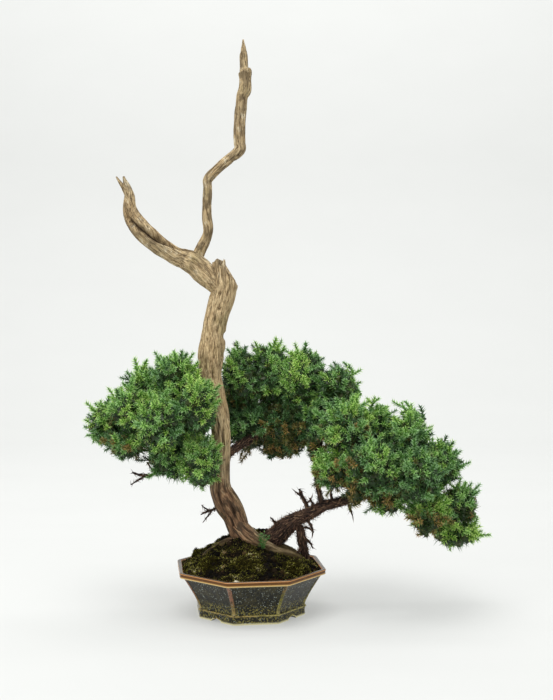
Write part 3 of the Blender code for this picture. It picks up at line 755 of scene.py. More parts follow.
# %% Shoot tree
GOLDEN_TURN = 2.39996
shoot_tree = growth_tree("needle_shoot", "Length Needle_Length Needle_Radius", Needles="int")
spike = spike_mesh(3, given["Needle_Radius"], given["Needle_Length"])
spike_height = part_of(result_of("GeometryNodeInputPosition"), "Z")
spike_along = math_node("DIVIDE", spike_height, given["Needle_Length"])
needle = store(spike, "along", spike_along)
line = result_of(
    "GeometryNodeMeshLine", mode="END_POINTS", count_mode="TOTAL", Count=given["Needles"],
    Start_Location=vector_of(z=times(given["Length"], 0.12)), Offset=vector_of(z=given["Length"]))
number = result_of("GeometryNodeInputIndex")
part = math_node("DIVIDE", number, given["Needles"])
turn = plus(times(number, GOLDEN_TURN), random_float(-0.35, 0.35, given["Seed"]))
tilt = plus(carried(part, 0.0, 1.0, 1.2, 0.82), random_float(-0.14, 0.14, seeded(7)))
size = times(carried(part, 0.55, 1.0, 1.0, 0.8), random_float(0.82, 1.12, seeded(13)))
needles = put_on_points(line, needle, vector_of(tilt, 0.0, turn), size)
stem_spike = spike_mesh(4, 0.0006, given["Length"], top=0.0002)
stem_part = store(stem_spike, "along", 0.3)
finish_growth(join(needles, stem_part))
print("shoot tree has", len(shoot_tree.nodes), "nodes")

# %% [markdown]
# ## Needle finish
# Fresh tips are yellow-green, the mass is a fuller green, shaded and older needles turn
# blue-green, and the ones that never see the sun die off rusty brown. Each needle's map holds
# two numbers: how far along the needle a point is, and the age of its spray. The finish is one
# ramp over age, made darker at the foot of the needle by a painted shade and lighter at its point.

# %% Needle material
needle_green = shader_of("juniper_needles")
map_place = result_of("ShaderNodeUVMap", uv_map=BAKE_MAP)
hue = ramp(part_of(map_place, "Y"), [
    (0.02, 200, 152, 102), (0.11, 154, 132, 84), (0.17, 56, 80, 36), (0.30, 112, 152, 112),
    (0.44, 166, 206, 156), (0.60, 186, 226, 144), (0.80, 206, 238, 134), (0.98, 226, 248, 154)])
# Painted shade: the foot of every needle is darkened, fading out towards its point.
needle_foot_shade = ramp(part_of(map_place, "X"), [
    (0.0, 58, 88, 28), (0.3, 136, 168, 98), (0.65, 236, 244, 220), (1.0, 255, 255, 255)])
dress(Base_Color=blend_colors(1.0, hue, needle_foot_shade, "MULTIPLY"), Roughness=0.48, Specular_IOR_Level=0.38)

shoots = bpy.data.collections.new("shoots")
for k, (length, needles_on, needle_length) in enumerate(((11, 20, 5.9), (8, 16, 5.4), (14, 24, 6.1))):
    shoot = bpy.data.objects.new(f"shoot_{k}", grow(
        f"shoot_{k}", bpy.data.meshes.new("nothing"), shoot_tree, Length=length * MM, Needles=needles_on,
        Needle_Length=needle_length * MM, Needle_Radius=0.78 * MM, Seed=k, Material=needle_green))
    shoots.objects.link(shoot)
    print(shoot.name, triangles(shoot.data), "triangles")

# %% [markdown]
# ## A spray of shoots
# Shoots grow in sprays: a leader, and side shoots that leave it in a spiral and lean out. A few
# different sprays are enough, because each lands at another angle and size on the crown.

# %% Spray tree
spray_tree = growth_tree("spray", "Length Lean", Shoots="collection", Side_Shoots="int")
choices = members(given["Shoots"])
line = result_of(
    "GeometryNodeMeshLine", mode="END_POINTS", count_mode="TOTAL", Count=given["Side_Shoots"],
    Start_Location=vector_of(), Offset=vector_of(z=times(given["Length"], 0.62)))
number = result_of("GeometryNodeInputIndex")
is_leader = result_of(
    "FunctionNodeCompare", data_type="INT", operation="EQUAL",
    inputs={2: number, 3: minus(given["Side_Shoots"], 1.0)})
turn = plus(times(number, 2.2), random_float(-0.5, 0.5, given["Seed"]))
lean = times(given["Lean"], random_float(0.75, 1.25, seeded(3)))
lean = result_of(
    "GeometryNodeSwitch", input_type="FLOAT", inputs={"Switch": is_leader, "False": lean, "True": 0.08})
size = random_float(0.72, 1.0, seeded(5))
pick = random_pick(2, seeded(9))
side_shoots = put_on_points(
    line, choices, vector_of(lean, 0.0, turn), size, Pick_Instance=True, Instance_Index=pick)
wood_spike = spike_mesh(4, 0.0009, times(given["Length"], 0.7), top=0.0005)
wood_part = store(wood_spike, "along", 0.0)
toned = store(side_shoots, "tone", random_float(-0.13, 0.13, seeded(15)), "INSTANCE")
finish_growth(join(toned, wood_part))

sprays = bpy.data.collections.new("sprays")
for k, (length, side_count, lean) in enumerate(((17, 5, 0.82), (13, 4, 0.95), (20, 6, 0.72), (11, 4, 1.05))):
    spray_mesh = grow(
        f"spray_{k}", bpy.data.meshes.new("nothing"), spray_tree, Shoots=shoots, Length=length * MM,
        Side_Shoots=side_count, Lean=lean, Seed=20 + k, Material=needle_green)
    sprays.objects.link(bpy.data.objects.new(f"spray_{k}", spray_mesh))
    print(f"spray_{k}", triangles(spray_mesh), "triangles")

# %% [markdown]
# ## The crown
# The solid model has the crown as overlapping pads, one for each bunch of foliage. The outside
# of each pad, without the flat faces where pads meet, is the surface that sprays are strewn
# over. Each spray starts well under that surface and points out and a little up, so that its
# shoots end near the pad's own outline. Sprays that would run through the stem are left out.

# %% Crown tree
# the most sprays and straws on a square metre
MOST_SPRAYS, MOST_STRAWS = 60000.0, 400000.0
STRAW_SPACING = 2.9 * MM
SPRAY_REACH = 0.013
crown_tree = growth_tree(
    "crown_sprays", "Spacing Depth Rise Freshness Browning Brown_Below Underside Stem_Clearance",
    Sprays="collection", Stem="object", Heart="object")
here = result_of("GeometryNodeInputPosition")
choices = members(given["Sprays"])
stem_edges = add_node("GeometryNodeObjectInfo", Object=given["Stem"]).outputs["Geometry"]


def from_stem(place):
    near = add_node(
        "GeometryNodeProximity", target_element="EDGES", Geometry=stem_edges, Sample_Position=place)
    return near.outputs["Distance"]


def spray_layer(spacing_factor, depth_factor, age_and_shade_shift, rise_factor, first_seed):
    """Sprays strewn over the pad: sunk, tinted, turned, and cleared from round the stem."""
    spacing = times(given["Spacing"], spacing_factor)
    strewn = strew_points(given["Geometry"], spacing, MOST_SPRAYS, seeded(first_seed))
    up = part_of(strewn.outputs["Normal"], "Z")
    patch = place_noise(34.0, Vector=here)
    age = plus(given["Freshness"], times(minus(patch, 0.5), 1.5))
    age = plus(age, random_float(-0.16, 0.16, seeded(first_seed + 1)))
    age = plus(plus(age, times(up, 0.08)), age_and_shade_shift)
    alive = result_of("ShaderNodeClamp", Value=age, Min=0.2, Max=0.97)
    under = less(plus(up, times(minus(patch, 0.5), 1.6)), given["Brown_Below"])
    dying = less(random_float(0.0, 1.0, seeded(first_seed + 2)), given["Browning"])
    brown = random_float(0.02, 0.16, seeded(first_seed + 3))
    tint = result_of("GeometryNodeSwitch", input_type="FLOAT", inputs={
        "Switch": times(under, dying), "False": alive, "True": brown})
    points = store(strewn.outputs["Points"], "age", tint)
    points = store(points, "out", strewn.outputs["Normal"], data_type="FLOAT_VECTOR")
    points = store(points, "up", up)
    out = read_value("out", "FLOAT_VECTOR")
    below = math_node(
        "MAXIMUM", times(read_value("up"), times(given["Underside"], -1.0)), times(read_value("up"), 0.5))
    inset = times(
        times(given["Depth"], plus(below, depth_factor)),
        random_float(-1.18, -0.78, seeded(first_seed + 4)))
    shift = vector_math("SCALE", out, Scale=inset)
    sunk = result_of("GeometryNodeSetPosition", Geometry=points, Offset=shift)
    near_base = from_stem(here)
    tip_place = vector_math("MULTIPLY_ADD", out, (SPRAY_REACH,) * 3, here)
    near_tip = from_stem(tip_place)
    blocked = less(math_node("MINIMUM", near_base, near_tip), given["Stem_Clearance"])
    clear = result_of("GeometryNodeDeleteGeometry", domain="POINT", Geometry=sunk, Selection=blocked)
    rise = times(given["Rise"], rise_factor)
    lift = vector_math("ADD", out, vector_of(z=rise))
    wander = random_vector(0.35, seeded(first_seed + 5))
    way = vector_math("ADD", lift, wander)
    aimed = aimed_along(way)
    spin = vector_of(z=random_float(0.0, FULL_TURN, seeded(first_seed + 6)))
    spun = turned_by(aimed, spin)
    size = plus(
        random_float(0.9, 1.18, seeded(first_seed + 7)),
        math_node("MAXIMUM", times(read_value("up"), 0.12), 0.0))
    pick = random_pick(3, seeded(first_seed + 8))
    return put_on_points(clear, choices, spun, size, Pick_Instance=True, Instance_Index=pick)


outer_layer = spray_layer(1.0, 1.0, 0.0, 1.0, 0)
# The inner sprays get a lower age, so they are darker: painted shade deep in the pad.
inner_layer = spray_layer(1.8, 1.6, -0.24, 0.3, 20)
heart = add_node("GeometryNodeObjectInfo", Object=given["Heart"]).outputs["Geometry"]
speckle = place_noise(420.0)
mottle = place_noise(90.0)
rough_skin = times(minus(speckle, 0.5), 0.02)
heart_normal = result_of("GeometryNodeInputNormal")
swell = vector_math("SCALE", heart_normal, Scale=rough_skin)
# The heart and its straws are darkened by the foot of the needle ramp: painted shade inside the pad, over the
# colour of old twigs and dead needles.
heart = store(heart, "along", times(speckle, 0.3))
heart = store(heart, "age", plus(times(mottle, 0.22), 0.05))
heart = result_of("GeometryNodeSetPosition", Geometry=heart, Offset=swell)
on_heart = strew_points(heart, STRAW_SPACING, MOST_STRAWS, seeded(40))
dead_age = plus(
    plus(times(mottle, 0.3), minus(0.12, times(given["Browning"], 0.22))),
    random_float(-0.05, 0.1, seeded(41)))
dead_points = store(on_heart.outputs["Points"], "age", math_node("MAXIMUM", dead_age, 0.02))
straw = spike_mesh(3, 0.6 * MM, 9 * MM)
straw = store(straw, "along", times(part_of(here, "Z"), 60.0))
tumble = random_vector(1.1, seeded(42))
straw_way = vector_math("ADD", on_heart.outputs["Normal"], tumble)
straw_turn = aimed_along(straw_way)
straws = put_on_points(dead_points, straw, straw_turn, random_float(0.5, 1.15, seeded(43)))
low_corner, high_corner = (0.01,) * 3, (0.99,) * 3
bake_place = vector_math("MINIMUM", along_and_age(0.008, "tone"), high_corner)
finish_growth(join(outer_layer, inner_layer, heart, straws),
              vector_math("MAXIMUM", bake_place, low_corner), ("age", "out", "up", "along", "tone"))
print("crown tree has", len(crown_tree.nodes), "nodes")

# %% Outside of each pad
def pad_hull(node):
    """The plain outer shape of a pad, in small faces."""
    build = bmesh.new()
    build.from_mesh(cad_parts[node].data)
    hull = bmesh.ops.convex_hull(build, input=build.verts)
    covered = hull["geom_interior"] + hull["geom_unused"]
    spare = [item for item in covered if isinstance(item, bmesh.types.BMVert)]
    bmesh.ops.delete(build, geom=spare, context="VERTS")
    bmesh.ops.remove_doubles(build, verts=build.verts, dist=0.01 * MM)
    return build


def cut_small(build, rounds, longest):
    """Halves every edge that is too long, a few times over."""
    for _ in range(rounds):
        long_edges = [edge for edge in build.edges if edge.calc_length() > longest]
        bmesh.ops.subdivide_edges(build, edges=long_edges, cuts=1)
        bmesh.ops.triangulate(build, faces=build.faces)


pads = sorted(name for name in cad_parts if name.startswith("foliage_"))
hulls = {}
for name in pads:
    build = pad_hull(name)
    hulls[name] = BVHTree.FromBMesh(build)
    build.free()


def inside_hull(hull, point):
    near, normal, _, _ = hull.find_nearest(point)
    return (point - near).dot(normal) < 0


def outer_faces(name):
    """The pad's surface without what another pad covers."""
    build = pad_hull(name)
    cut_small(build, 3, 8 * MM)
    covered = []
    for face in build.faces:
        probe = face.calc_center_median() - face.normal * 6 * MM
        if any(inside_hull(hull, probe) for other, hull in hulls.items() if other != name):
            covered.append(face)
    bmesh.ops.delete(build, geom=covered, context="FACES")
    build.normal_update()
    return built_mesh(name, build)


def dark_heart(name, fullness):
    """The tangle of old twigs and dead needles inside a pad, as one rough body; it is kept dark as a painted
    shade for the pad's shaded inside.
    """
    build = pad_hull(name)
    cut_small(build, 4, 6.5 * MM)
    middle = sum((vert.co for vert in build.verts), Vector()) / len(build.verts)
    for vert in build.verts:
        vert.co = middle + (vert.co - middle) * fullness
    build.normal_update()
    return new_object(f"heart_{name}", built_mesh(f"heart_{name}", build))


STEM_CLEARANCE = 13 * MM
stem_line_mesh = bpy.data.meshes.new("stem_line")
stem_points = growth_line(STEM, 6 * MM)[0][:, :3]
stem_line_mesh.from_pydata(stem_points.tolist(), [(k, k + 1) for k in range(len(stem_points) - 1)], [])
stem_line = new_object("stem_line", stem_line_mesh)
# how fresh each bunch is, where it isn't middling, and how much of its underside has died off
FRESHNESS = {
    "left_upper": 0.64, "left_outer": 0.68, "left_low_front": 0.7, "left_mid_front": 0.62,
    "left_low_outer": 0.4, "left_tip": 0.5, "left_low": 0.55, "left_back": 0.45, "back_left": 0.5,
    "back_top": 0.5, "back_right": 0.58, "back_low_left": 0.24, "back_low_right": 0.24,
    "right_mid_front": 0.5, "right_outer_front": 0.4, "right_outer": 0.48, "right_outer_upper": 0.56,
    "right_far_tip": 0.86, "right_far": 0.56, "right_outer_low": 0.64, "right_back": 0.42}
BROWNING = {
    "back_low_left": 0.45, "back_low_right": 0.5, "right_low": 0.6, "right_low_inner": 0.55,
    "right_outer_low": 0.85, "right_far": 0.6, "right_mid": 0.4, "right_mid_front": 0.25,
    "left_low_outer": 0.2}
UNDERSIDE_SINK = {"back_low_left": 0.0, "back_low_right": 0.0}
HEART_FULLNESS = {
    "back_low_left": 0.82, "back_low_right": 0.84, "back_left": 0.8, "back_top": 0.8, "back_right": 0.8,
    "right_low_inner": 0.82, "right_upper": 0.68, "left_low_outer": 0.62, "right_outer_low": 0.66,
    "right_crown": 0.62, "right_outer_upper": 0.62, "right_far": 0.62}
SPRAY_DEPTH = {
    "back_low_left": 10, "back_low_right": 9, "right_low_inner": 9, "right_low": 11, "right_mid": 14,
    "right_far_tip": 12, "right_upper": 26, "right_crown": 22, "right_outer_upper": 20, "right_far": 21}
SPRAY_SPACING = {"right_far_tip": 12.5, "right_far": 11.5, "left_tip": 11.0}


def grow_bunch(bunch, surface, heart, seed, spacing, depth, **values):
    """Covers a surface and its heart with needles, and takes the heart away."""
    mesh = grow(
        f"needles_{bunch}", surface, crown_tree, Sprays=sprays, Spacing=spacing * MM, Depth=depth * MM,
        Stem=stem_line, Stem_Clearance=STEM_CLEARANCE, Heart=heart, Seed=seed, Material=needle_green,
        **values)
    bpy.data.objects.remove(heart)
    return mesh


total = 0
for k, name in enumerate(pads):
    bunch = name.removeprefix("foliage_")
    heart = dark_heart(name, HEART_FULLNESS.get(bunch, 0.74))
    mesh = grow_bunch(
        bunch, outer_faces(name), heart, 100 + 50 * k, SPRAY_SPACING.get(bunch, 10.2),
        SPRAY_DEPTH.get(bunch, 15), Rise=0.7, Freshness=FRESHNESS.get(bunch, 0.57),
        Browning=BROWNING.get(bunch, 0.0), Brown_Below=-0.15, Underside=UNDERSIDE_SINK.get(bunch, 0.45))
    total += triangles(mesh)
    print(mesh.name, triangles(mesh), "triangles")
    finish_piece(mesh.name, mesh, "needles", name)


def ball(name, middle, half, share=1.0):
    """An egg-shaped surface to grow a loose bunch on; the middle and half-sizes are in mm."""
    build = bmesh.new()
    bmesh.ops.create_icosphere(build, subdivisions=3, radius=1)
    for vert in build.verts:
        vert.co = Vector([(m + h * share * v) * MM for m, h, v in zip(middle, half, vert.co)])
    return built_mesh(name, build)


# loose bunches that close the gaps between the pads:
# middle, half-sizes, freshness, how much of it browns, and below what slope
LOOSE_BUNCHES = {
    "between_back_and_right": ((32, 24, 203), (15, 20, 31), 0.52, 0.1, -0.2),
    "behind_stem": ((-57, 46, 226), (10, 16, 18), 0.34, 0.3, 0.0),
    "back_fringe": ((-3, 40, 174), (27, 16, 9), 0.3, 0.8, 0.9),
    "right_fringe": ((78, -40, 136), (15, 13, 13), 0.4, 0.85, 0.9),
    "outer_fringe": ((149, -42, 103), (15, 12, 10), 0.4, 0.9, 0.9),
    "upright_fringe": ((36, -4, 172), (9, 10, 12), 0.34, 0.95, 0.9),
}
for k, (bunch, (middle, half, freshness, browning, brown_below)) in enumerate(LOOSE_BUNCHES.items()):
    heart = new_object(f"heart_{bunch}", ball(f"heart_{bunch}", middle, half, 0.7))
    mesh = grow_bunch(
        bunch, ball(bunch, middle, half), heart, 5000 + 50 * k, 10.5, 12, Rise=0.5, Freshness=freshness,
        Browning=browning, Brown_Below=brown_below, Underside=0.3)
    total += triangles(mesh)
    finish_piece(mesh.name, mesh, "needles")
bpy.data.objects.remove(stem_line)
print("crown:", total, "triangles")

# %% [markdown]
# ## Live branches and bark
# The branches that still carry foliage are covered in thin red-brown bark that peels in
# strips. They are swept like the trunk, with rougher flutes, and get a darker finish, and so
# are their short side twigs and the short dead twigs. Slivers of loose bark are grown on them
# with one more node tree, which lays a flattened spike along the fibres and lifts its end by a random angle.

# %% Bark finish
bark = shader_of("peeling_bark")
wood_at = stored("wood", "Vector")
groove_at = stored("groove")
place = object_place()
strands = fine_noise(wood_at, 420, 4.0, (1, 1, 0.12))
blotches = fine_noise(place, 70, 3.0)
peeling = ramp(strands, [(0.30, 12, 8, 5), (0.46, 34, 23, 16), (0.58, 62, 44, 31), (0.74, 116, 92, 70)])
weathered = blend_colors(fade(blotches, 0.52, 0.7, 0.0, 0.55), peeling, srgb(56, 50, 36))
# The grooves are darkened to near black: partly dirt, partly painted shade in the cracks.
dress(
    Base_Color=blend_colors(overlap(groove_at, 0.85), weathered, srgb(26, 17, 13)),
    Roughness=fade(strands, 0.3, 0.7, 0.95, 0.75), Specular_IOR_Level=0.25)
raise_bump(strands, 0.8 * MM)

loose_bark = shader_of("loose_bark")
map_place = result_of("ShaderNodeUVMap", uv_map=BAKE_MAP)
flake_color = ramp(part_of(map_place, "Y"), [
    (0.0, 38, 24, 18), (0.4, 78, 52, 40), (0.75, 112, 80, 60), (1.0, 158, 128, 98)])
dress(
    Base_Color=blend_colors(
        fade(part_of(map_place, "X"), 0.0, 1.0, 0.5, 0.0), flake_color, srgb(24, 16, 12)),
    Roughness=0.9)
print("bark and loose bark are ready")

# %% Sliver tree
sliver_tree = growth_tree("slivers", "Spacing Length Radius Flatness Lowest_Lift Highest_Lift")
strewn = strew_points(given["Geometry"], given["Spacing"], 3e6, given["Seed"])
fibre = read_value("fibre", "FLOAT_VECTOR")
upright = aimed_along(strewn.outputs["Normal"], axis="X")
along_fibre = aimed_along(fibre, axis="Z", pivot_axis="X", Rotation=upright)
turned_over = times(less(random_float(0.0, 1.0, seeded(1)), 0.5), pi)
swing = plus(turned_over, random_float(-0.35, 0.35, seeded(2)))
swung = turned_by(along_fibre, vector_of(x=swing))
lift = random_float(given["Lowest_Lift"], given["Highest_Lift"], seeded(3))
lifted = turned_by(swung, vector_of(y=lift))
spike = spike_mesh(3, given["Radius"], given["Length"], rings=2)
spike_height = part_of(result_of("GeometryNodeInputPosition"), "Z")
marked = store(spike, "along", math_node("DIVIDE", spike_height, given["Length"]))
points = store(strewn.outputs["Points"], "age", random_float(0.03, 0.95, seeded(4)))
length = random_float(0.45, 1.2, seeded(5))
placed = put_on_points(points, marked, lifted, vector_of(given["Flatness"], 1.0, length))
finish_growth(placed, along_and_age(0.01), ("age", "along"))
print("sliver tree has", len(sliver_tree.nodes), "nodes")

# %% Branches
BRANCHES = {
    "right_branch": (
        (6, 12, 68, 11), (26, 15, 79, 11), (35, 13, 88, 10), (49, 10, 99, 7.6), (64, 6, 106, 6.5),
        (78, 2, 115, 6), (93, 0, 119, 5.4), (112, -2, 125, 5), (135, 0, 131, 4.5), (160, 2, 134, 4),
        (185, 0, 128, 3.4), (208, -2, 110, 2.8), (221, -1, 94, 2)),
    "branch_root": (
        (47, 10, 95, 4), (53, 11, 87, 4.4), (55, 12, 75, 4.8), (58, 12, 62, 4.4), (60, 12, 53, 3)),
    "upright_branch": (
        (78, 2, 114, 2.6), (74, 1, 128, 2.8), (70, 0, 159, 2.8), (76, 4, 190, 2.5), (86, 14, 222, 2)),
    "outer_branch": ((112, -2, 125, 3), (122, 2, 142, 3), (134, 10, 166, 2.6), (140, 18, 196, 2)),
    "back_branch": (
        (-33, 2, 166, 5), (-20, 16, 175, 4.4), (4, 32, 188, 4.2), (33, 44, 196, 3.8), (56, 44, 206, 3.2),
        (62, 42, 240, 2.4)),
    "rear_shoot_branch": ((4, 32, 188, 3), (8, 44, 205, 3), (14, 52, 232, 2.6), (18, 56, 256, 2)),
    "left_branch": (
        (-33, -2, 146, 5), (-50, -10, 156, 4.8), (-70, -14, 170, 4.4), (-95, -10, 188, 4),
        (-122, -4, 200, 3.2), (-150, 3, 204, 2.2)),
    "left_crown_branch": ((-70, -14, 170, 3), (-74, -10, 186, 3), (-80, -4, 214, 2.6), (-82, -2, 246, 2)),
    "dead_stub": ((58, 8, 104, 2.2), (60, 7, 113, 2), (54, 6, 127, 1.7), (52, 6, 133, 0.8)),
    "trunk_twig": ((-28, 0, 117, 1.6), (-41, -2, 112, 1.5), (-50, -3, 109, 1.3), (-56, -3, 106, 0.7)),
    "under_twig": (
        (-92, -10, 186, 1.8), (-98, -10, 168, 1.7), (-106, -10, 152, 1.6), (-118, -10, 150, 1.5),
        (-130, -10, 153, 0.7)),
}
SIDE_TWIGS = {
    "right_branch": (
        ((70, 4, 108, 2.2), (66, 1, 118, 1.3), (63, 0, 124, 0.5)),
        ((88, 0, 120, 1.8), (86, -4, 130, 1.1), (89, -6, 137, 0.4)),
        ((104, -1, 121, 1.6), (108, -4, 110, 1.0), (110, -5, 104, 0.4)),
        ((60, 4, 100, 1.8), (66, 0, 90, 1.2), (66, -2, 82, 0.5)),
        ((136, 0, 128, 1.5), (142, -3, 117, 1.0), (147, -4, 110, 0.4)),
        ((30, 10, 90, 2.0), (24, 6, 97, 1.2), (20, 5, 102, 0.5))),
    "branch_root": (
        ((54, 9, 80, 2.0), (63, 6, 74, 1.3), (67, 5, 67, 0.5)),
        ((50, 9, 88, 1.8), (60, 8, 90, 1.2), (66, 8, 86, 0.5)),
        ((56, 9, 68, 1.8), (49, 5, 62, 1.2), (46, 4, 57, 0.6))),
    "dead_stub": (
        ((55, 7, 124, 1.2), (50, 6, 128, 0.9), (46, 6, 131, 0.4)),
        ((58, 7, 115, 1.1), (64, 6, 121, 0.7), (66, 6, 124, 0.3))),
    "trunk_twig": (
        ((-46, -2, 110, 1.1), (-52, -4, 114, 0.8), (-55, -5, 117, 0.4)),
        ((-43, -2, 111, 1.0), (-50, -2, 102, 0.7), (-53, -2, 98, 0.3))),
    "under_twig": (
        ((-114, -10, 150, 1.3), (-123, -11, 145, 1.0), (-131, -12, 140, 0.5)),
        ((-106, -10, 153, 1.1), (-110, -12, 160, 0.8), (-113, -13, 165, 0.4))),
}
loose_total = 0
for k, (name, points) in enumerate(BRANCHES.items()):
    thick = max(point[3] for point in points)
    around = 20 + int(4 * thick)
    limbs = [carved_limb(
        points, 1.0 * MM, around, twist=8.0, flute=0.16, crack=0.7, seed=20 + k,
        rough=1.1 if thick > 4 else 0.6)]
    for j, twig in enumerate(SIDE_TWIGS.get(name, ())):
        limbs.append(carved_limb(
            twig, 1.0 * MM, 10, twist=8.0, flute=0.16, crack=0.2, seed=40 + 3 * k + j, rough=0.4))
    branch_mesh = wood_mesh(f"{name}_wood", limbs, bark)
    slivers = grow(
        f"{name}_slivers", branch_mesh.copy(), sliver_tree, Spacing=2.0 * MM, Length=5.6 * MM,
        Radius=0.8 * MM, Flatness=0.45, Lowest_Lift=0.1, Highest_Lift=0.95, Seed=60 + k,
        Material=loose_bark)
    loose_total += triangles(slivers)
    finish_piece(f"{name}_wood", branch_mesh, "bark", name)
    finish_piece(f"{name}_slivers", slivers, "bark")
print("loose bark:", loose_total, "triangles")

# %% [markdown]
# ## The pot
# A shallow eight-sided stoneware pot, wider at the lip than at the foot. Ribs run down its
# corners, a bead runs round above the foot band, and the foot is cut into cloud-shaped arches.
# It is lofted from eight-sided rings whose corners are a little soft. Each ring also carries
# how strongly its edge catches the glaze, which the finish uses below.

# %% Pot rings
POT_TURN = radians(7.8)
SIDE_ANGLE = pi / 4
corner_steps = np.radians([0, 0.6, 1.1, 1.6, 2.1, 2.8, 4.5, 7.5, 11, 15, 19])
half_side = SIDE_ANGLE / 2 - corner_steps
side_turns = np.concatenate([-half_side, half_side[::-1][:-1]])
side_turns = np.unique(np.round(np.concatenate([side_turns, [0.0]]), 6))
turns = np.concatenate([side * SIDE_ANGLE + side_turns[:-1] for side in range(8)])
face_ways = np.arange(8) * SIDE_ANGLE


def ring_reach(turn, softness=110):
    """How far a soft-cornered eight-sided ring of inner radius 1 reaches in each direction."""
    facing = np.maximum(np.cos(turn[:, None] - face_ways[None, :]), 1e-6)
    return (facing ** softness).sum(axis=1) ** (-1 / softness)


def wall_apothem(height):
    """The outer wall's distance from the axis to a flat side, from the waist to the neck, in mm."""
    return 56.2 + 17.3 * ((height - 12) / 32.8) ** 1.2


# apothem and height in millimetres, rib strength, edge strength, lip strength
pot_section = [
    (0, 3.6, 0, 0, 0), (20, 3.6, 0, 0, 0), (46.5, 3.6, 0, 0, 0), (48.6, 3.2, 0, 0, 0),
    (49.0, 1.0, 0, 0.3, 0), (49.6, 0.1, 0, 0.8, 0), (51, 0, 0, 0.6, 0), (55.6, 0, 0, 0.8, 0),
    (56.7, 0.2, 0, 1, 0), (57.2, 0.9, 0, 1, 0), (57.3, 1.7, 0, 0.45, 0), (57.0, 2.6, 0, 0.05, 0),
    (56.9, 4.5, 0, 0, 0), (56.9, 6.6, 0, 0, 0), (57.0, 8.0, 0.2, 0.1, 0), (57.5, 8.9, 0.4, 0.6, 0),
    (58.0, 9.5, 0.5, 1, 0), (57.9, 10.1, 0.6, 0.9, 0), (57.2, 10.7, 0.8, 0.3, 0), (56.5, 11.3, 1, 0, 0)]
for height in np.linspace(12.2, 43.4, 26):
    pot_section.append((wall_apothem(height), height, 1, 0, 0))
pot_section += [
    (73.3, 44.2, 0.7, 0.1, 0.2), (74.2, 44.7, 0.4, 0.3, 0.6), (75.6, 45.0, 0.2, 0.6, 1),
    (77.0, 45.2, 0, 0.9, 1), (77.9, 45.5, 0, 1, 1), (78.3, 46.0, 0, 0.9, 1), (78.2, 46.6, 0, 0.3, 1),
    (78.1, 47.6, 0, 0, 1), (78.2, 48.6, 0, 0, 1), (78.5, 49.5, 0, 0.5, 1), (78.5, 50.2, 0, 1, 1),
    (78.1, 50.8, 0, 1, 1), (77.3, 51.0, 0, 0.7, 1), (76.4, 50.9, 0, 0.3, 1), (75.4, 50.8, 0, 0.4, 1),
    (74.6, 50.5, 0, 0.9, 1), (74.1, 49.8, 0, 0.5, 1), (73.2, 48.2, 0, 0.1, 0.6), (69.5, 45.6, 0, 0, 0),
    (62, 34, 0, 0, 0), (54.5, 20, 0, 0, 0), (50, 13, 0, 0, 0), (48, 10.9, 0, 0, 0), (46, 10.6, 0, 0, 0),
    (20, 10.6, 0, 0, 0), (0, 10.6, 0, 0, 0)]


def pot_mesh(name):
    reach = ring_reach(turns)
    off_corner = np.abs((turns + SIDE_ANGLE / 2) % SIDE_ANGLE)
    off_corner = np.minimum(off_corner, SIDE_ANGLE - off_corner)
    rib_shape = 0.9 * (1 - ease_between(radians(0.8), radians(2.4), off_corner))
    way = turns + POT_TURN
    verts, edge, lip = [], [], []
    for apothem, height, rib, edge_part, lip_part in pot_section:
        if apothem == 0:
            continue
        r = (apothem * reach + rib * rib_shape) * MM
        verts.append(np.column_stack([r * np.cos(way), r * np.sin(way), np.full(len(way), height * MM)]))
        edge.append(np.maximum(edge_part, rib * (rib_shape > 0.25) * 0.85))
        lip.append(np.full(len(way), float(lip_part)))
    count, rings = len(turns), len(verts)
    verts = np.vstack([*verts, (0, 0, pot_section[0][1] * MM), (0, 0, pot_section[-1][1] * MM)])
    verts[:, 0] += pot_axis.x
    verts[:, 1] += pot_axis.y
    quads, low_cap, high_cap = ring_faces(rings, count, rings * count, rings * count + 1)
    mesh = bpy.data.meshes.new(name)
    mesh.from_pydata(verts.tolist(), [], [*quads, *low_cap, *high_cap])
    for label, values in (("edge", np.concatenate([*edge, [0, 0]])), ("lip", np.concatenate([*lip, [0, 0]]))):
        mesh.attributes.new(label, "FLOAT", "POINT").data.foreach_set("value", values.astype(np.float32))
    mesh.shade_smooth()
    return mesh


rough_pot = new_object("pot_ware", pot_mesh("pot_ware"))
print("pot ware:", triangles(rough_pot.data), "triangles")

# %% Arches and drain holes
ARCH_WIDTH, ARCH_HEIGHT = 15 * MM, 4.6 * MM
DRAIN_PLACE, DRAIN_RADIUS = 24 * MM, 7.5 * MM
BEAD_OUT, BEAD_RADIUS = 57.0 * MM, 0.55 * MM


def arch_outline(steps=20):
    """The cloud-shaped cut: a flat dome with a small peak in its middle."""
    outline = []
    for k in range(-steps, steps + 1):
        u = k / steps
        rise = 0.72 * (1 - abs(u) ** 3) + 0.28 * max(0, 1 - abs(u) / 0.35) ** 1.5
        outline.append((u * ARCH_WIDTH / 2, ARCH_HEIGHT * rise))
    return outline


def on_side(turn):
    """Carries what faces the front at the pot's axis to face this turn."""
    return Matrix.Translation(pot_axis) @ Matrix.Rotation(turn + pi / 2, 4, "Z")


def prism(name, outline, near, far, turn):
    """A flat outline across and up, made solid between two distances from the axis, and turned."""
    build = bmesh.new()
    rows = [[build.verts.new((across, -depth, up)) for across, up in outline] for depth in (near, far)]
    build.faces.new(rows[0])
    build.faces.new(reversed(rows[1]))
    for k in range(len(outline)):
        after = (k + 1) % len(outline)
        build.faces.new((rows[0][after], rows[0][k], rows[1][k], rows[1][after]))
    bmesh.ops.recalc_face_normals(build, faces=build.faces)
    bmesh.ops.transform(build, matrix=on_side(turn), verts=build.verts)
    return new_object(name, built_mesh(name, build))


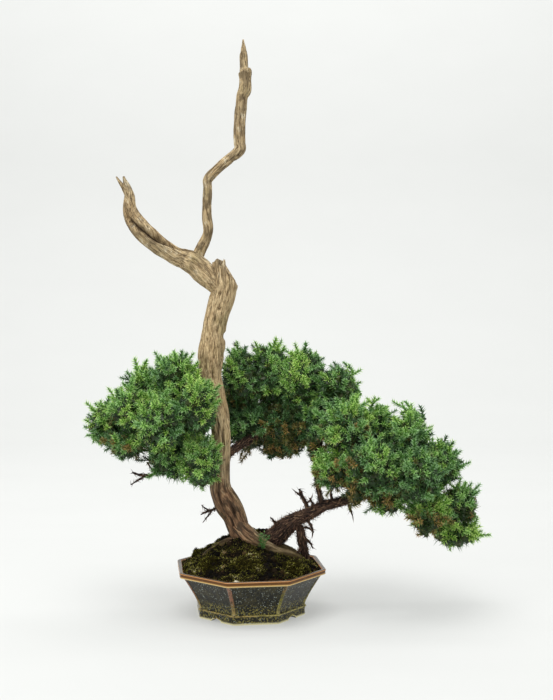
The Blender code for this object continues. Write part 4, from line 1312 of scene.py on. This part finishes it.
cutters = []
for quarter in range(4):
    low_edge = [(ARCH_WIDTH / 2, -2 * MM), (-ARCH_WIDTH / 2, -2 * MM)]
    cutters.append(prism(
        "arch", [*arch_outline(), *low_edge], 44 * MM, 62 * MM, POT_TURN + radians(45 + 90 * quarter)))
for side in (-1, 1):
    build = bmesh.new()
    hole = Matrix.Translation((pot_axis.x + side * DRAIN_PLACE, pot_axis.y, 7 * MM))
    bmesh.ops.create_cone(
        build, cap_ends=True, segments=40, radius1=DRAIN_RADIUS, radius2=DRAIN_RADIUS, depth=12 * MM,
        matrix=hole)
    cutters.append(new_object("drain", built_mesh("drain", build)))
for cutter in cutters:
    cut = rough_pot.modifiers.new(cutter.name, "BOOLEAN")
    cut.operation, cut.object, cut.solver = "DIFFERENCE", cutter, "EXACT"
evaluated = rough_pot.evaluated_get(bpy.context.evaluated_depsgraph_get())
pot_ware = bpy.data.meshes.new_from_object(evaluated)
for spare in (*cutters, rough_pot):
    bpy.data.objects.remove(spare)


def skin(build, rows):
    """The faces of a tube from rows of its points, with both ends closed."""
    made = []
    for first, second in zip(rows, rows[1:]):
        for k in range(len(first)):
            after = (k + 1) % len(first)
            made.append(build.faces.new((first[k], first[after], second[after], second[k])))
    return [*made, build.faces.new(reversed(rows[0])), build.faces.new(rows[-1])]


def bead_on_arches(mesh):
    """Adds a thin raised line round every arch, as the glaze gathers there."""
    build = bmesh.new()
    build.from_mesh(mesh)
    edge_layer = build.verts.layers.float["edge"]
    for quarter in range(4):
        turn = POT_TURN + radians(45 + 90 * quarter)
        route = [Vector((across * 1.05, -BEAD_OUT, up * 1.07 + 0.2 * MM)) for across, up in arch_outline(16)]
        rows = []
        for k, point in enumerate(route):
            ahead = (route[min(k + 1, len(route) - 1)] - route[max(k - 1, 0)]).normalized()
            over = ahead.cross(Vector((0, -1, 0)))
            row = []
            for j in range(6):
                spin = j / 6 * 2 * pi
                round_it = over * cos(spin) + Vector((0, -1, 0)) * sin(spin)
                vert = build.verts.new(on_side(turn) @ (point + round_it * BEAD_RADIUS))
                vert[edge_layer] = 1.0
                row.append(vert)
            rows.append(row)
        bmesh.ops.recalc_face_normals(build, faces=skin(build, rows))
    build.to_mesh(mesh)
    build.free()


bead_on_arches(pot_ware)
pot_ware.shade_smooth()
pot_ware.set_sharp_from_angle(angle=radians(50))
print("pot with arches:", triangles(pot_ware), "triangles")

# %% [markdown]
# ## Glaze
# The glaze is a dark olive, nearly black where it is thick, with pale blue oil spots and golden
# specks. Where it runs thin, over the lip, the ribs, the bead and the foot's edge, it breaks to
# amber, copper and cream. The ring's edge strength, roughened with noise, picks those places.
# The light lines along the top and the lower edge of the lip are partly that glaze and partly painted
# highlight.

# %% Glaze finish
glaze = shader_of("oil_spot_glaze")
place = object_place()
height = part_of(place, "Z")
edge_at = stored("edge")
lip_at = stored("lip")
cloud = fine_noise(place, 85, 4.0)
runs = fine_noise(place, 420, 3.0, (1, 1, 0.22))
body = ramp(cloud, [(0.3, 6, 7, 3), (0.5, 20, 20, 11), (0.7, 46, 42, 22)])
spots = add_node("ShaderNodeTexVoronoi", Vector=place, Scale=520.0).outputs["Distance"]
spot_mask = overlap(fade(spots, 0.2, 0.36, 1.0, 0.0), fade(
    fine_noise(place, 200, 2.0, offset=(4, 4, 4)), 0.46, 0.6))
spotted = blend_colors(overlap(spot_mask, 0.9), body, srgb(150, 158, 150))
streaked = blend_colors(
    overlap(fade(runs, 0.58, 0.7), fade(height, 0.026, 0.042, 0.0, 0.45)), spotted, srgb(112, 116, 112))
gold_mask = overlap(
    fade(fine_noise(place, 520, 3.0, offset=(1, 7, 3)), 0.5, 0.6), fade(height, 0.016, 0.024, 0.85, 0.12))
golden = blend_colors(gold_mask, streaked, srgb(122, 114, 56))
up_the_wall = fade(height, 0.008, 0.044)
copper = ramp(up_the_wall, [
    (0.0, 172, 150, 88), (0.3, 150, 118, 66), (0.6, 152, 106, 78), (1.0, 160, 116, 92)])
olive_gold = ramp(up_the_wall, [
    (0.0, 176, 164, 96), (0.4, 134, 128, 50), (0.8, 112, 104, 40), (1.0, 140, 112, 70)])
to_the_right = fade(part_of(place, "X"), -0.036, -0.022)
breaking = blend_colors(to_the_right, copper, olive_gold)
# The lip's bands by height: the cream line at its lower edge and the pink-tan line near its top are partly
# glaze break, partly painted highlight.
lip_glaze_and_highlight = ramp(fade(height, 0.0448, 0.0512), [
    (0.0, 232, 212, 156), (0.16, 190, 150, 84), (0.34, 92, 58, 16), (0.86, 92, 54, 16),
    (0.93, 214, 152, 88), (0.97, 116, 82, 50), (1.0, 84, 76, 64)])
edged = blend_colors(
    overlap(arithmetic("POWER", edge_at, 2.2), fade(fine_noise(place, 300, 3.0), 0.36, 0.56, 0.3, 0.95)),
    golden, breaking)
lipped = blend_colors(lip_at, edged, lip_glaze_and_highlight)
foot_line = blend_colors(overlap(edge_at, fade(height, 0.0022, 0.004, 1.0, 0.0)), lipped, srgb(226, 218, 172))
dress(Base_Color=foot_line, Roughness=fade(cloud, 0.35, 0.65, 0.16, 0.3), Specular_IOR_Level=0.3)
raise_bump(fine_noise(place, 180, 3.0, offset=(5, 5, 1)), 0.35 * MM, 0.6)
pot_ware.materials.clear()
pot_ware.materials.append(glaze)
pot_ware.name = "pot_ware"
finish_piece("pot_ware", pot_ware, "olive_glaze", "pot")
print("glaze has", len(tree.nodes), "nodes")

# %% [markdown]
# ## Soil, grit and moss
# The root ball is a mound of dark, crumbly soil that rises from just under the lip to the foot
# of the trunk. Grit lies in it, and moss grows over it in cushions and thin patches. The mound
# is a fine eight-sided fan pushed about by noise; one node tree strews lumps and grit over it
# and grows the moss blades, each only where a noise mask lets it.

# %% Soil mound
MOUND_PEAK = np.array((-15.0, 6.0)) * MM
HOLLOW_PLACE = np.array((29.0, 4.0)) * MM
HEAP_PLACE = np.array((18.0, 17.0)) * MM
SOIL_REACH = 72.0 * MM


def soil_height(x, y):
    """The height of the soil over places from the pot's axis: a mound, and a dip by the branch."""
    away = np.column_stack([x, y]) - MOUND_PEAK
    distance = np.linalg.norm(away, axis=1)
    out = away / np.maximum(distance, 1e-9)[:, None]
    part = np.clip(distance / (SOIL_REACH - out @ MOUND_PEAK), 0, 1)
    dip = 8 * MM * np.exp(-((x - HOLLOW_PLACE[0]) ** 2 + (y - HOLLOW_PLACE[1]) ** 2) / (18 * MM) ** 2)
    heap = 15 * MM * np.exp(-((x - HEAP_PLACE[0]) / (20 * MM)) ** 2 - ((y - HEAP_PLACE[1]) / (10 * MM)) ** 2)
    return 48.5 * MM + 36 * MM * (1 - part ** 1.3) - dip + heap


def soil_surface(name, rings=72, spokes=200):
    fan = np.arange(spokes) / spokes * 2 * pi
    off = (fan + SIDE_ANGLE / 2) % SIDE_ANGLE - SIDE_ANGLE / 2
    rim = (SOIL_REACH + 0.8 * MM) / np.cos(off)
    rim_x, rim_y = rim * np.cos(fan + POT_TURN), rim * np.sin(fan + POT_TURN)
    verts = []
    for part in np.linspace(1, 0.012, rings):
        x = MOUND_PEAK[0] + (rim_x - MOUND_PEAK[0]) * part
        y = MOUND_PEAK[1] + (rim_y - MOUND_PEAK[1]) * part
        verts.append(np.column_stack([x, y, soil_height(x, y)]))
    verts = np.vstack(verts)
    calm = np.repeat(np.minimum(1, (1 - np.linspace(1, 0.012, rings)) * 12 + 0.15), spokes)
    bumps = 3.4 * ripple(verts / (9 * MM)) + 2.2 * ripple(verts / (4.2 * MM) + 4)
    verts[:, 2] += calm * MM * (bumps + 0.9 * ripple(verts / (1.9 * MM) + 8))
    low = np.column_stack([rim_x * 0.94, rim_y * 0.94, np.full(spokes, 44 * MM)])
    verts = np.vstack([low, verts, (*MOUND_PEAK, 83 * MM), (0, 0, 44 * MM)])
    verts[:, 0] += pot_axis.x
    verts[:, 1] += pot_axis.y
    peak, bottom = (rings + 1) * spokes, (rings + 1) * spokes + 1
    quads, low_cap, high_cap = ring_faces(rings + 1, spokes, bottom, peak)
    mesh = bpy.data.meshes.new(name)
    mesh.from_pydata(verts.tolist(), [], [*quads, *high_cap, *low_cap])
    mesh.shade_smooth()
    return mesh


soil = shader_of("dark_soil")
place = object_place()
crumbs = fine_noise(place, 520, 5.0)
damp = fine_noise(place, 60, 3.0, offset=(2, 2, 2))
earth = ramp(crumbs, [(0.36, 4, 3, 1), (0.5, 14, 10, 5), (0.62, 38, 27, 14), (0.76, 96, 78, 50)])
green_film = blend_colors(fade(damp, 0.5, 0.64, 0.0, 0.7), earth, srgb(44, 42, 12))
rusty = blend_colors(
    overlap(fade(part_of(place, "Z"), 0.0475, 0.051, 0.7, 0.0), fade(crumbs, 0.4, 0.6)), green_film,
    srgb(112, 56, 28))
dress(Base_Color=rusty, Roughness=0.95, Specular_IOR_Level=0.08)
raise_bump(crumbs, 1.4 * MM)
mound = soil_surface("soil_mound")
mound.materials.append(soil)
print("soil mound:", triangles(mound), "triangles")

# %% Grit and moss trees
grain_finish = shader_of("grit")
map_place = result_of("ShaderNodeUVMap", uv_map=BAKE_MAP)
dress(
    Base_Color=ramp(part_of(map_place, "Y"), [
        (0.0, 4, 3, 2), (0.5, 18, 13, 7), (0.72, 48, 36, 20), (0.86, 104, 84, 54), (0.96, 220, 214, 196)]),
    Roughness=0.9, Specular_IOR_Level=0.1)

moss_finish = shader_of("moss_blades")
map_place = result_of("ShaderNodeUVMap", uv_map=BAKE_MAP)
moss_hue = ramp(part_of(map_place, "Y"), [
    (0.0, 30, 26, 6), (0.3, 74, 72, 18), (0.5, 132, 130, 48), (0.75, 194, 186, 100), (1.0, 238, 230, 180)])
dress(
    Base_Color=blend_colors(fade(part_of(map_place, "X"), 0.0, 0.85, 0.95, 0.0), moss_hue, srgb(8, 6, 2)),
    Roughness=0.85, Specular_IOR_Level=0.1)

strew_tree = growth_tree(
    "ground_cover", "Spacing Size Tallness Point Sink Lean Mask_Scale Mask_Low", Sides="int", Rings="int")
strewn = strew_points(given["Geometry"], given["Spacing"], 4e6, given["Seed"])
here = result_of("GeometryNodeInputPosition")
mask = place_noise(given["Mask_Scale"], Vector=here)
bare = less(mask, given["Mask_Low"])
points = store(strewn.outputs["Points"], "out", strewn.outputs["Normal"], data_type="FLOAT_VECTOR")
kept = result_of("GeometryNodeDeleteGeometry", domain="POINT", Geometry=points, Selection=bare)
tuft = place_noise(110.0, Vector=here)
plot = place_noise(46.0, 1.0, Vector=here)
tuft = plus(tuft, times(minus(plot, 0.5), 0.85))
age = result_of(
    "ShaderNodeClamp", Value=plus(times(minus(tuft, 0.28), 1.5), random_float(-0.3, 0.3, seeded(1))),
    Min=0.02, Max=0.97)
points = store(kept, "age", age)
out = read_value("out", "FLOAT_VECTOR")
sunk = result_of(
    "GeometryNodeSetPosition", Geometry=points,
    Offset=vector_math("SCALE", out, Scale=times(given["Sink"], -1.0)))
wander = random_vector(1.0, seeded(2))
way = vector_math("MULTIPLY_ADD", wander, vector_of(given["Lean"], given["Lean"], given["Lean"]), out)
aimed = aimed_along(way)
spun = turned_by(aimed, vector_of(z=random_float(0.0, FULL_TURN, seeded(3))))
blade = spike_mesh(
    given["Sides"], given["Size"], times(given["Size"], given["Tallness"]),
    top=times(given["Size"], given["Point"]), rings=given["Rings"])
blade_height = part_of(here, "Z")
marked = store(blade, "along", math_node("DIVIDE", blade_height, times(given["Size"], given["Tallness"])))
placed = put_on_points(sunk, marked, spun, random_float(0.5, 1.25, seeded(4)))
finish_growth(placed, along_and_age(0.01), ("age", "along", "out"))

# %% Lay the soil, the grit and the moss
def grow_moss(name, surface, spacing, size, tallness, lean, mask_scale, mask_low, seed):
    """Moss blades over a surface, with the spacing and the size in mm."""
    return grow(
        name, surface.copy(), strew_tree, Spacing=spacing * MM, Size=size * MM, Tallness=tallness, Sides=3,
        Rings=1, Point=0.0, Sink=0.2 * MM, Lean=lean, Mask_Scale=mask_scale, Mask_Low=mask_low, Seed=seed,
        Material=moss_finish)


lumps = grow(
    "soil_lumps", mound.copy(), strew_tree, Spacing=5.2 * MM, Size=3.1 * MM, Tallness=0.75, Sides=9,
    Rings=2, Point=0.45, Sink=0.8 * MM, Lean=0.8, Mask_Scale=60.0, Mask_Low=0.36, Seed=305,
    Material=grain_finish)
lump_moss = grow_moss("lump_moss", lumps, 0.95, 0.42, 4.6, 0.5, 48.0, 0.47, 306)
grit = grow(
    "soil_grit", mound.copy(), strew_tree, Spacing=2.3 * MM, Size=0.85 * MM, Tallness=1.1, Sides=5, Rings=1,
    Point=0.55, Sink=0.35 * MM, Lean=0.9, Mask_Scale=90.0, Mask_Low=0.3, Seed=301, Material=grain_finish)
thin_moss = grow_moss("thin_moss", mound, 0.85, 0.4, 4.8, 0.45, 42.0, 0.5, 302)
finish_piece("soil_mound", mound, "soil", "soil")
finish_piece("soil_lumps", lumps, "soil")
finish_piece("lump_moss", lump_moss, "moss")
finish_piece("soil_grit", grit, "soil")
print("lumps", triangles(lumps), "and their moss", triangles(lump_moss), "triangles")
finish_piece("thin_moss", thin_moss, "moss")
print("grit", triangles(grit), "and thin moss", triangles(thin_moss), "triangles")


def cushion_mesh(node):
    """A lumpy dome that fills the solid cushion's box and reaches down into the soil."""
    low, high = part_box(node)
    center = (low + high) / 2
    half = (high - low) / 2
    build = bmesh.new()
    bmesh.ops.create_icosphere(build, subdivisions=4, radius=1)
    points = np.array([vert.co for vert in build.verts])
    swell = 0.86 + 0.42 * ripple(points * 1.7 + center.x * 90) + 0.22 * ripple(points * 4.2 + 3)
    for vert, factor in zip(build.verts, swell):
        vert.co = Vector((
            center.x + vert.co.x * half.x * factor, center.y + vert.co.y * half.y * factor,
            low.z + 0.5 * MM + vert.co.z * (half.z * 1.85) * factor))
    mesh = built_mesh(f"{node}_cushion", build)
    mesh.shade_smooth()
    return mesh


moss_base = shader_of("moss_base")
place = object_place()
dress(
    Base_Color=ramp(fine_noise(place, 400, 4.0), [
        (0.3, 14, 12, 3), (0.55, 38, 34, 10), (0.75, 70, 62, 22)]),
    Roughness=0.95, Specular_IOR_Level=0.05)
raise_bump(fine_noise(place, 700, 3.0), 1.0 * MM)
for k, node in enumerate(sorted(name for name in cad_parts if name.startswith("moss_"))):
    base = cushion_mesh(node)
    base.materials.append(moss_base)
    blades = grow_moss(f"{node}_blades", base, 0.95, 0.5, 4.4, 0.4, 60.0, 0.0, 310 + k)
    finish_piece(f"{node}_cushion", base, "moss", node)
    finish_piece(f"{node}_blades", blades, "moss")
    print(node, triangles(blades), "triangles")

# %% [markdown]
# ## The seedling
# A weed has come up by the trunk: a few thin stems with small pairs of pointed leaves. Each
# stem is a swept thread and each leaf a folded lance of four faces, set in pairs up the stem.

# %% Seedling
leaf_green = shader_of("seedling_leaf")
place = object_place()
dress(
    Base_Color=ramp(fine_noise(place, 300, 2.0), [
        (0.35, 46, 88, 32), (0.6, 74, 126, 48), (0.8, 116, 162, 70)]),
    Roughness=0.45)
low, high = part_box("weed_sprig")
sprig_foot = np.array([(low.x + high.x) / 2, (low.y + high.y) / 2, low.z])
sprig_height = high.z - low.z
build = bmesh.new()
chooser = np.random.default_rng(5)


def add_leaf(build, base, way, length, width):
    """A folded lance-shaped leaf, closed underneath."""
    way = way / np.linalg.norm(way)
    side = np.cross(way, (0, 0, 1)) * width
    droop = np.array((0, 0, -0.12 * length))
    fold = np.array((0, 0, -0.18 * width))
    places = [
        base, base + way * length * 0.5 + side + fold, base + way * length + droop,
        base + way * length * 0.5 - side + fold, base + way * length * 0.45 + (0, 0, 0.35 * width)]
    v = [build.verts.new(place) for place in places]
    for corners in ((0, 1, 4), (1, 2, 4), (2, 3, 4), (3, 0, 4), (0, 3, 1), (1, 3, 2)):
        build.faces.new([v[k] for k in corners])


for _ in range(10):
    lean = chooser.uniform(-1, 1, 2) * (7.0 * MM, 2.5 * MM)
    start = sprig_foot + (*(lean * 0.25), 1.0 * MM)
    tall = sprig_height * chooser.uniform(0.55, 0.98)
    route = [start + np.array((*(lean * t ** 1.4 * 1.2), tall * t)) for t in np.linspace(0, 1, 6)]
    rows = [
        [build.verts.new(point + 0.28 * MM * np.array((cos(a), sin(a), 0))) for a in (0, 2.1, 4.2)]
        for point in route]
    skin(build, rows)
    for level, point in enumerate(route[1:]):
        turn = chooser.uniform(0, pi) + level * pi / 2
        for side in (0, pi):
            way = np.array((cos(turn + side), sin(turn + side), 0.55))
            add_leaf(build, point, way, chooser.uniform(3.0, 5.0) * MM, 0.85 * MM)
bmesh.ops.recalc_face_normals(build, faces=build.faces)
sprig_mesh = built_mesh("weed_leaves", build)
sprig_mesh.materials.append(leaf_green)
finish_piece("weed_leaves", sprig_mesh, "sprig_leaf", "weed_sprig")
print("seedling:", triangles(sprig_mesh), "triangles")

# %% [markdown]
# ## Hidden fittings
# Under the soil a square of black plastic mesh lies over each drain hole, held by a loop of
# aluminium wire that is bent out under the pot. Their solid shapes are right as they are, so
# they only get a finish: scuffed plastic, and drawn wire with dull streaks.

# %% Plastic and wire finishes
plastic = shader_of("scuffed_plastic")
place = object_place()
scuffs = fine_noise(place, 600, 3.0)
dress(
    Base_Color=ramp(scuffs, [(0.35, 18, 18, 18), (0.7, 48, 46, 44)]),
    Roughness=fade(scuffs, 0.3, 0.7, 0.35, 0.6))
raise_bump(scuffs, 0.1 * MM)
drawn_wire = shader_of("drawn_wire")
place = object_place()
streaks = fine_noise(place, 900, 3.0, (1, 0.2, 1))
dress(
    Base_Color=ramp(streaks, [(0.3, 120, 84, 56), (0.7, 176, 132, 94)]),
    Roughness=fade(streaks, 0.3, 0.7, 0.3, 0.5), Metallic=1.0)
for name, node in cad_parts.items():
    if name.startswith("drainage_mesh") or name.startswith("mesh_clip"):
        node.data.materials.clear()
        node.data.materials.append(plastic if name.startswith("drainage_mesh") else drawn_wire)
        print("finished", name)

# %% The sizes of the finished scene
shown = [piece for piece in bpy.context.scene.objects if piece.type == "MESH" and piece.visible_get()]
print("all pieces:", sum(triangles(piece.data) for piece in shown), "triangles")
